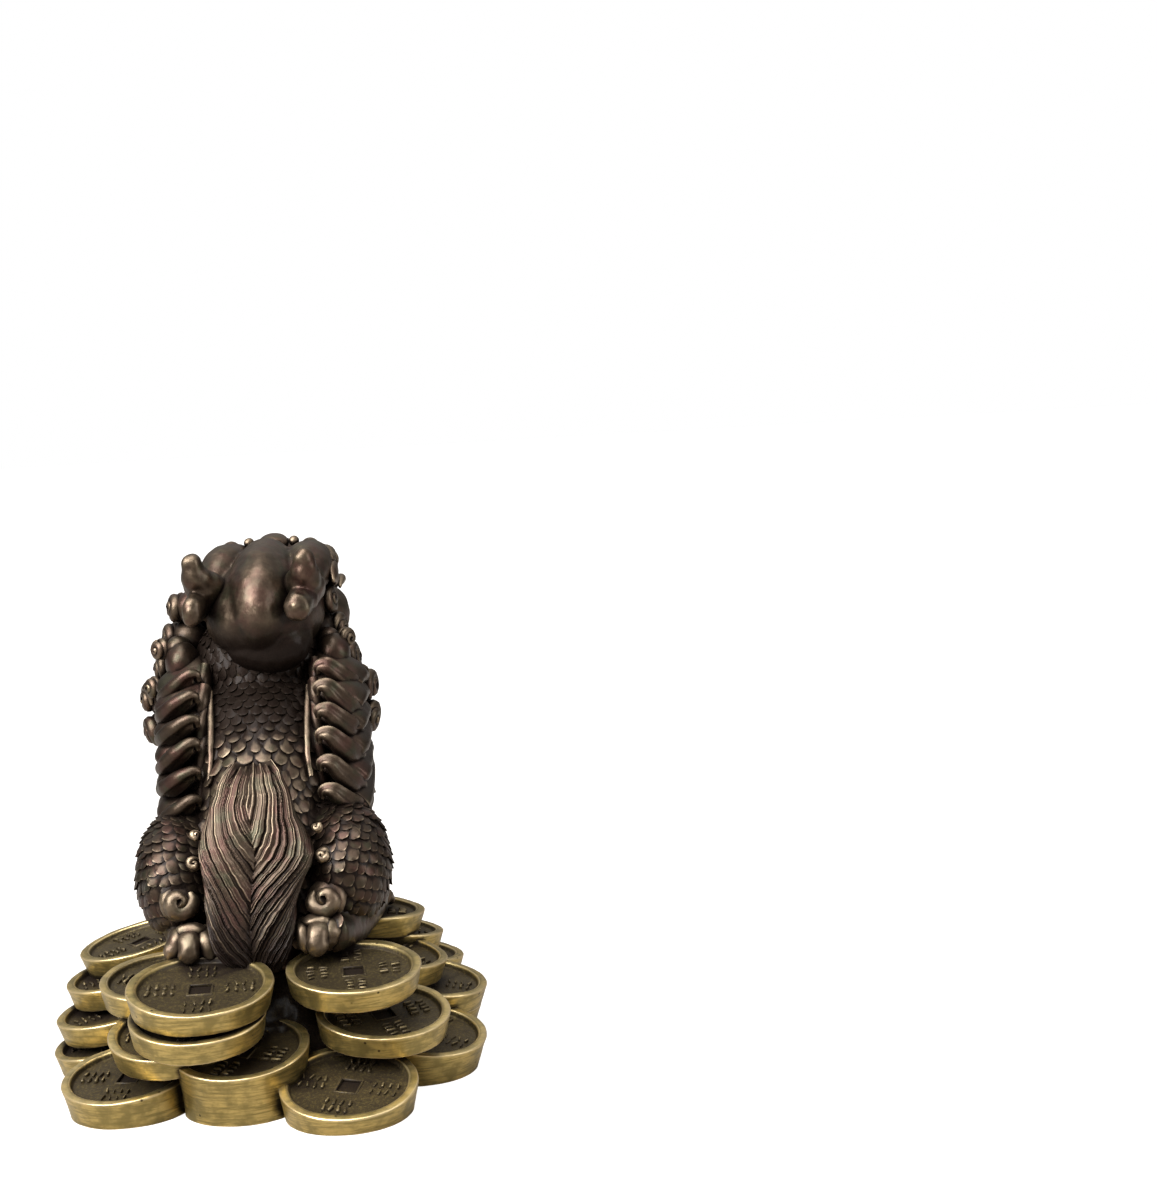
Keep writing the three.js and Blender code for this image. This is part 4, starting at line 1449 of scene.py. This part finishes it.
def finish_piece(thing, name):
    """Names a piece, brings it to metres and the part's frame, and hides the part that it stands in for."""
    finish, smooth_angle, wear = LOOKS[name]
    if finish not in FINISHES:
        FINISHES[finish] = finish(bpy.context.scene.qilin_colours)
    thing.name = name
    thing.data.name = name
    alone(thing)
    thing.data.transform(Matrix.Scale(0.001, 4) @ Matrix.Translation((-MIDDLE[0], -MIDDLE[1], 0)))
    bpy.ops.object.shade_smooth_by_angle(angle=radians(smooth_angle))
    thing.data.materials.clear()
    thing.data.materials.append(FINISHES[finish])
    thing["wear"] = wear
    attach(thing, "root")
    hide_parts(NODE)
    DONE.append(thing)


# Sizes and colours that a user may change

def size_property(name, description, default, **limits):
    """A size with its name, description and default."""
    return FloatProperty(name=name, description=description, default=default, **limits)


def colour_property(name, description, default):
    """A colour with its name, description and default."""
    words = {"name": name, "description": description, "subtype": "COLOR"}
    return FloatVectorProperty(**words, default=default, min=0, max=1)


class QilinCoinSizes(bpy.types.PropertyGroup):
    """Sizes of a coin, in millimetres."""

    radius: size_property("Radius", "Radius of a coin in millimetres", 8.5, min=5, max=12)
    border: size_property("Border", "Width of the raised border in millimetres", 1.15)
    field_depth: size_property("Field depth", "Depth of the field below the border in millimetres", 0.75)
    taper: size_property("Taper", "Share by which a wall draws in for each millimetre down", 0.023)
    hole: size_property("Hole", "Side of the square hole in millimetres", 2.4)
    stroke_size: size_property("Strokes", "Greatest length of a raised stroke in millimetres", 1.15)


class QilinBeastSizes(bpy.types.PropertyGroup):
    """Sizes of the beast's relief, in millimetres."""

    scale_width: size_property("Scale width", "Width of a scale in millimetres", 2.15)
    scale_length: size_property("Scale length", "Length of a scale in millimetres", 2.45)
    scale_row: size_property("Row spacing", "Distance from row to row of scales in millimetres", 1.65)
    scale_lift: size_property("Lift", "How far a scale's tip stands up in millimetres", 0.43)
    locks: IntProperty(name="Locks", description="Locks of hair over half the tail", default=5, min=4, max=40)
    strand_depth: size_property("Strand depth", "Depth of the tail's grooves in millimetres", 0.65)


class QilinColours(bpy.types.PropertyGroup):
    """Colours of the two finishes."""

    bronze: colour_property("Bronze", "Ground colour of the beast", (0.050, 0.034, 0.023))
    red: colour_property("Red bronze", "Reddish patches of the beast", (0.064, 0.030, 0.024))
    green: colour_property("Green bronze", "Greenish patches of the beast", (0.042, 0.040, 0.024))
    bright: colour_property("Rubbed bronze", "What stands out on the beast", (0.48, 0.37, 0.25))
    # Black: painted shade in the hollows, and the real pits in the coins
    black: colour_property("Shade and pits", "Colour in the hollows", (0.013, 0.008, 0.006))
    gold: colour_property("Gold", "Coins' walls and borders", (0.56, 0.415, 0.145))
    gold_dull: colour_property("Dull gold", "Tarnished parts of the walls", (0.25, 0.195, 0.068))
    gold_bright: colour_property("Bright gold", "Rubbed edges of the coins", (0.75, 0.59, 0.33))
    field: colour_property("Field", "Coins' sunk fields", (0.046, 0.034, 0.019))


# Stage

PALE = (1.0, 1.0, 1.0)
LAMPS = (  # name, where it stands, what it aims at, its side in metres, watts
    ("front_light", (0.10, 0.85, 0.75), (0, 0, 0.03), 0.35, 3),
    ("key_light", (0.42, 0.36, 0.40), (0, 0, 0.04), 0.45, 9),
    ("far_light", (-0.68, 0.28, 0.24), (0, 0, 0.02), 0.35, 1.7),
)
CEILING = ((0.10, 0.25, 1.0), 2.6, 45)  # way it shines from, strength, spread in degrees


def lamp(name, kind, at, aim, energy):
    """A light that stands at a place and shines towards another."""
    made = placed(name, bpy.data.lights.new(name, kind))
    made.data.energy = energy
    made.location = at
    made.rotation_euler = (Vector(aim) - Vector(at)).to_track_quat("-Z", "Y").to_euler()
    return made.data


def studio_lights():
    """Even light from a round patch of ceiling, and soft square lights."""
    way, strength, spread = CEILING
    lamp("ceiling", "SUN", way, (0, 0, 0), strength).angle = radians(spread)
    for name, at, aim, side, watts in LAMPS:
        light = lamp(name, "AREA", at, aim, watts)
        light.shape = "SQUARE"
        light.size = side


def studio_walls():
    """Pale to the eye, and dim walls under a brighter ceiling for what they light."""
    world = bpy.data.worlds.new("studio")
    world.use_nodes = True
    base = Wire(world.node_tree)
    way = base.node("ShaderNodeTexCoord", out="Generated")
    height = way.node("ShaderNodeSeparateXYZ", {}, {"Vector": way}, out=2)
    lit = height.rise(0.05, 0.95).tinted((0.10, 0.095, 0.09), (0.88, 0.86, 0.83))
    colour = base.node("ShaderNodeLightPath").tinted(lit, PALE)
    paint = world.node_tree.nodes["Background"]
    paint.inputs["Strength"].default_value = 1.0
    plug(paint, Color=colour)
    bpy.context.scene.world = world


def pale_floor():
    """A plain pale floor."""
    alone()
    bpy.ops.mesh.primitive_plane_add(size=120, location=(0, 0, 0))
    floor = bpy.context.object
    floor.name = "floor"
    paint = bpy.data.materials.new("pale_floor")
    paint.use_nodes = True
    shader = paint.node_tree.nodes["Principled BSDF"]
    seen = Wire(paint.node_tree).node("ShaderNodeLightPath")
    plug(shader, Emission_Color=seen.tinted((0.0, 0.0, 0.0), PALE))
    shader.inputs["Base Color"].default_value = (0.30, 0.28, 0.26, 1)
    shader.inputs["Roughness"].default_value = 0.9
    shader.inputs["Specular IOR Level"].default_value = 0.1
    shader.inputs["Emission Strength"].default_value = 0.9
    floor.data.materials.append(paint)


def photo_camera():
    """The camera, at the photograph's viewing angle."""
    camera = bpy.data.cameras.new("camera")
    camera.sensor_width = SENSOR
    camera.lens = FOCAL_PIXELS / IMAGE_SIDE * SENSOR
    camera.clip_start = 0.01
    camera.clip_end = 200
    pitch, roll = radians(PITCH), radians(ROLL)
    view = Vector((*LOOK, 0)).normalized() * cos(pitch) - Vector((0, 0, sin(pitch)))
    right = view.cross(Vector((0, 0, 1))).normalized()
    up = right.cross(view)
    right, up = right * cos(roll) - up * sin(roll), right * sin(roll) + up * cos(roll)
    shift = Vector((EYE[0] - MIDDLE[0], EYE[1] - MIDDLE[1], EYE[2])) * 0.001
    made = placed("camera", camera)
    made.matrix_world = Matrix.Translation(shift) @ Matrix((right, up, -view)).transposed().to_4x4()
    bpy.context.scene.camera = made


# Operators

class QILIN_OT_coins(bpy.types.Operator):
    """Models the bed of old coins"""

    bl_idname = "qilin.coins"
    bl_label = "Coin bed"

    def execute(self, context):
        finish_piece(make_coin_bed(context.scene.qilin_coins), "coin_bed")
        return {"FINISHED"}


class QILIN_OT_body(bpy.types.Operator):
    """Models the beast's body and legs with their coat of scales"""

    bl_idname = "qilin.body"
    bl_label = "Body and scales"

    def execute(self, context):
        body = make_body()
        coat = make_scales(body, context.scene.qilin_beast)
        finish_piece(body, "body")
        finish_piece(coat, "scale_coat")
        return {"FINISHED"}


class QILIN_OT_tail(bpy.types.Operator):
    """Models the tail with its strands"""

    bl_idname = "qilin.tail"
    bl_label = "Tail"

    def execute(self, context):
        finish_piece(make_tail(context.scene.qilin_beast), "tail")
        return {"FINISHED"}


class QILIN_OT_wings(bpy.types.Operator):
    """Models both wings"""

    bl_idname = "qilin.wings"
    bl_label = "Wings"

    def execute(self, context):
        finish_piece(make_wings(), "wings")
        return {"FINISHED"}


class QILIN_OT_hair(bpy.types.Operator):
    """Models the mane and the curls of hair on the legs"""

    bl_idname = "qilin.hair"
    bl_label = "Mane and leg hair"

    def execute(self, context):
        finish_piece(make_mane(), "mane")
        finish_piece(make_leg_hair(), "leg_hair")
        return {"FINISHED"}


class QILIN_OT_paws(bpy.types.Operator):
    """Models the toes and claws and the plates of the chest"""

    bl_idname = "qilin.paws"
    bl_label = "Paws and chest"

    def execute(self, context):
        finish_piece(make_paws(), "paws_and_chest")
        return {"FINISHED"}


class QILIN_OT_head(bpy.types.Operator):
    """Models the head, its face and its antlers"""

    bl_idname = "qilin.head"
    bl_label = "Head and antlers"

    def execute(self, context):
        finish_piece(joined([skull(), make_face()]), "head")
        finish_piece(make_antlers(), "antlers")
        return {"FINISHED"}


class QILIN_OT_weather(bpy.types.Operator):
    """Measures worn edges, and the hollows for painted shade, for the finish"""

    bl_idname = "qilin.weather"
    # Wear, and painted shade in the hollows
    bl_label = "Wear and grime"

    def execute(self, context):
        weather(DONE)
        return {"FINISHED"}


class QILIN_OT_stage(bpy.types.Operator):
    """Sets the floor, the lights and the camera"""

    bl_idname = "qilin.stage"
    bl_label = "Stage"

    def execute(self, context):
        pale_floor()
        studio_walls()
        studio_lights()
        photo_camera()
        context.scene.view_settings.view_transform = "Standard"
        return {"FINISHED"}


class QILIN_PT_panel(bpy.types.Panel):
    """Lists the pieces and their sizes"""

    bl_label = "Qilin"
    bl_idname = "QILIN_PT_panel"
    bl_space_type = "VIEW_3D"
    bl_region_type = "UI"
    bl_category = "Qilin"

    def draw(self, context):
        for name, _ in GROUPS:
            group = getattr(context.scene, name)
            box = self.layout.box()
            for size in group.__annotations__:
                box.prop(group, size)
        for operator in OPERATORS:
            self.layout.operator(operator.bl_idname)


OPERATORS = (
    QILIN_OT_coins,
    QILIN_OT_body,
    QILIN_OT_tail,
    QILIN_OT_wings,
    QILIN_OT_hair,
    QILIN_OT_paws,
    QILIN_OT_head,
    QILIN_OT_weather,
    QILIN_OT_stage,
)
GROUPS = (
    ("qilin_coins", QilinCoinSizes),
    ("qilin_beast", QilinBeastSizes),
    ("qilin_colours", QilinColours),
)


def register():
    """Registers the sizes, the operators and the panel."""
    for name, group in GROUPS:
        bpy.utils.register_class(group)
        setattr(bpy.types.Scene, name, PointerProperty(type=group))
    for made in (*OPERATORS, QILIN_PT_panel):
        bpy.utils.register_class(made)


def unregister():
    """Takes them all out again."""
    for made in (QILIN_PT_panel, *reversed(OPERATORS)):
        bpy.utils.unregister_class(made)
    for name, group in reversed(GROUPS):
        delattr(bpy.types.Scene, name)
        bpy.utils.unregister_class(group)


def main():
    """Makes every piece in order."""
    register()
    for operator in OPERATORS:
        group, name = operator.bl_idname.split(".")
        getattr(getattr(bpy.ops, group), name)()


if __name__ == "__main__":
    main()
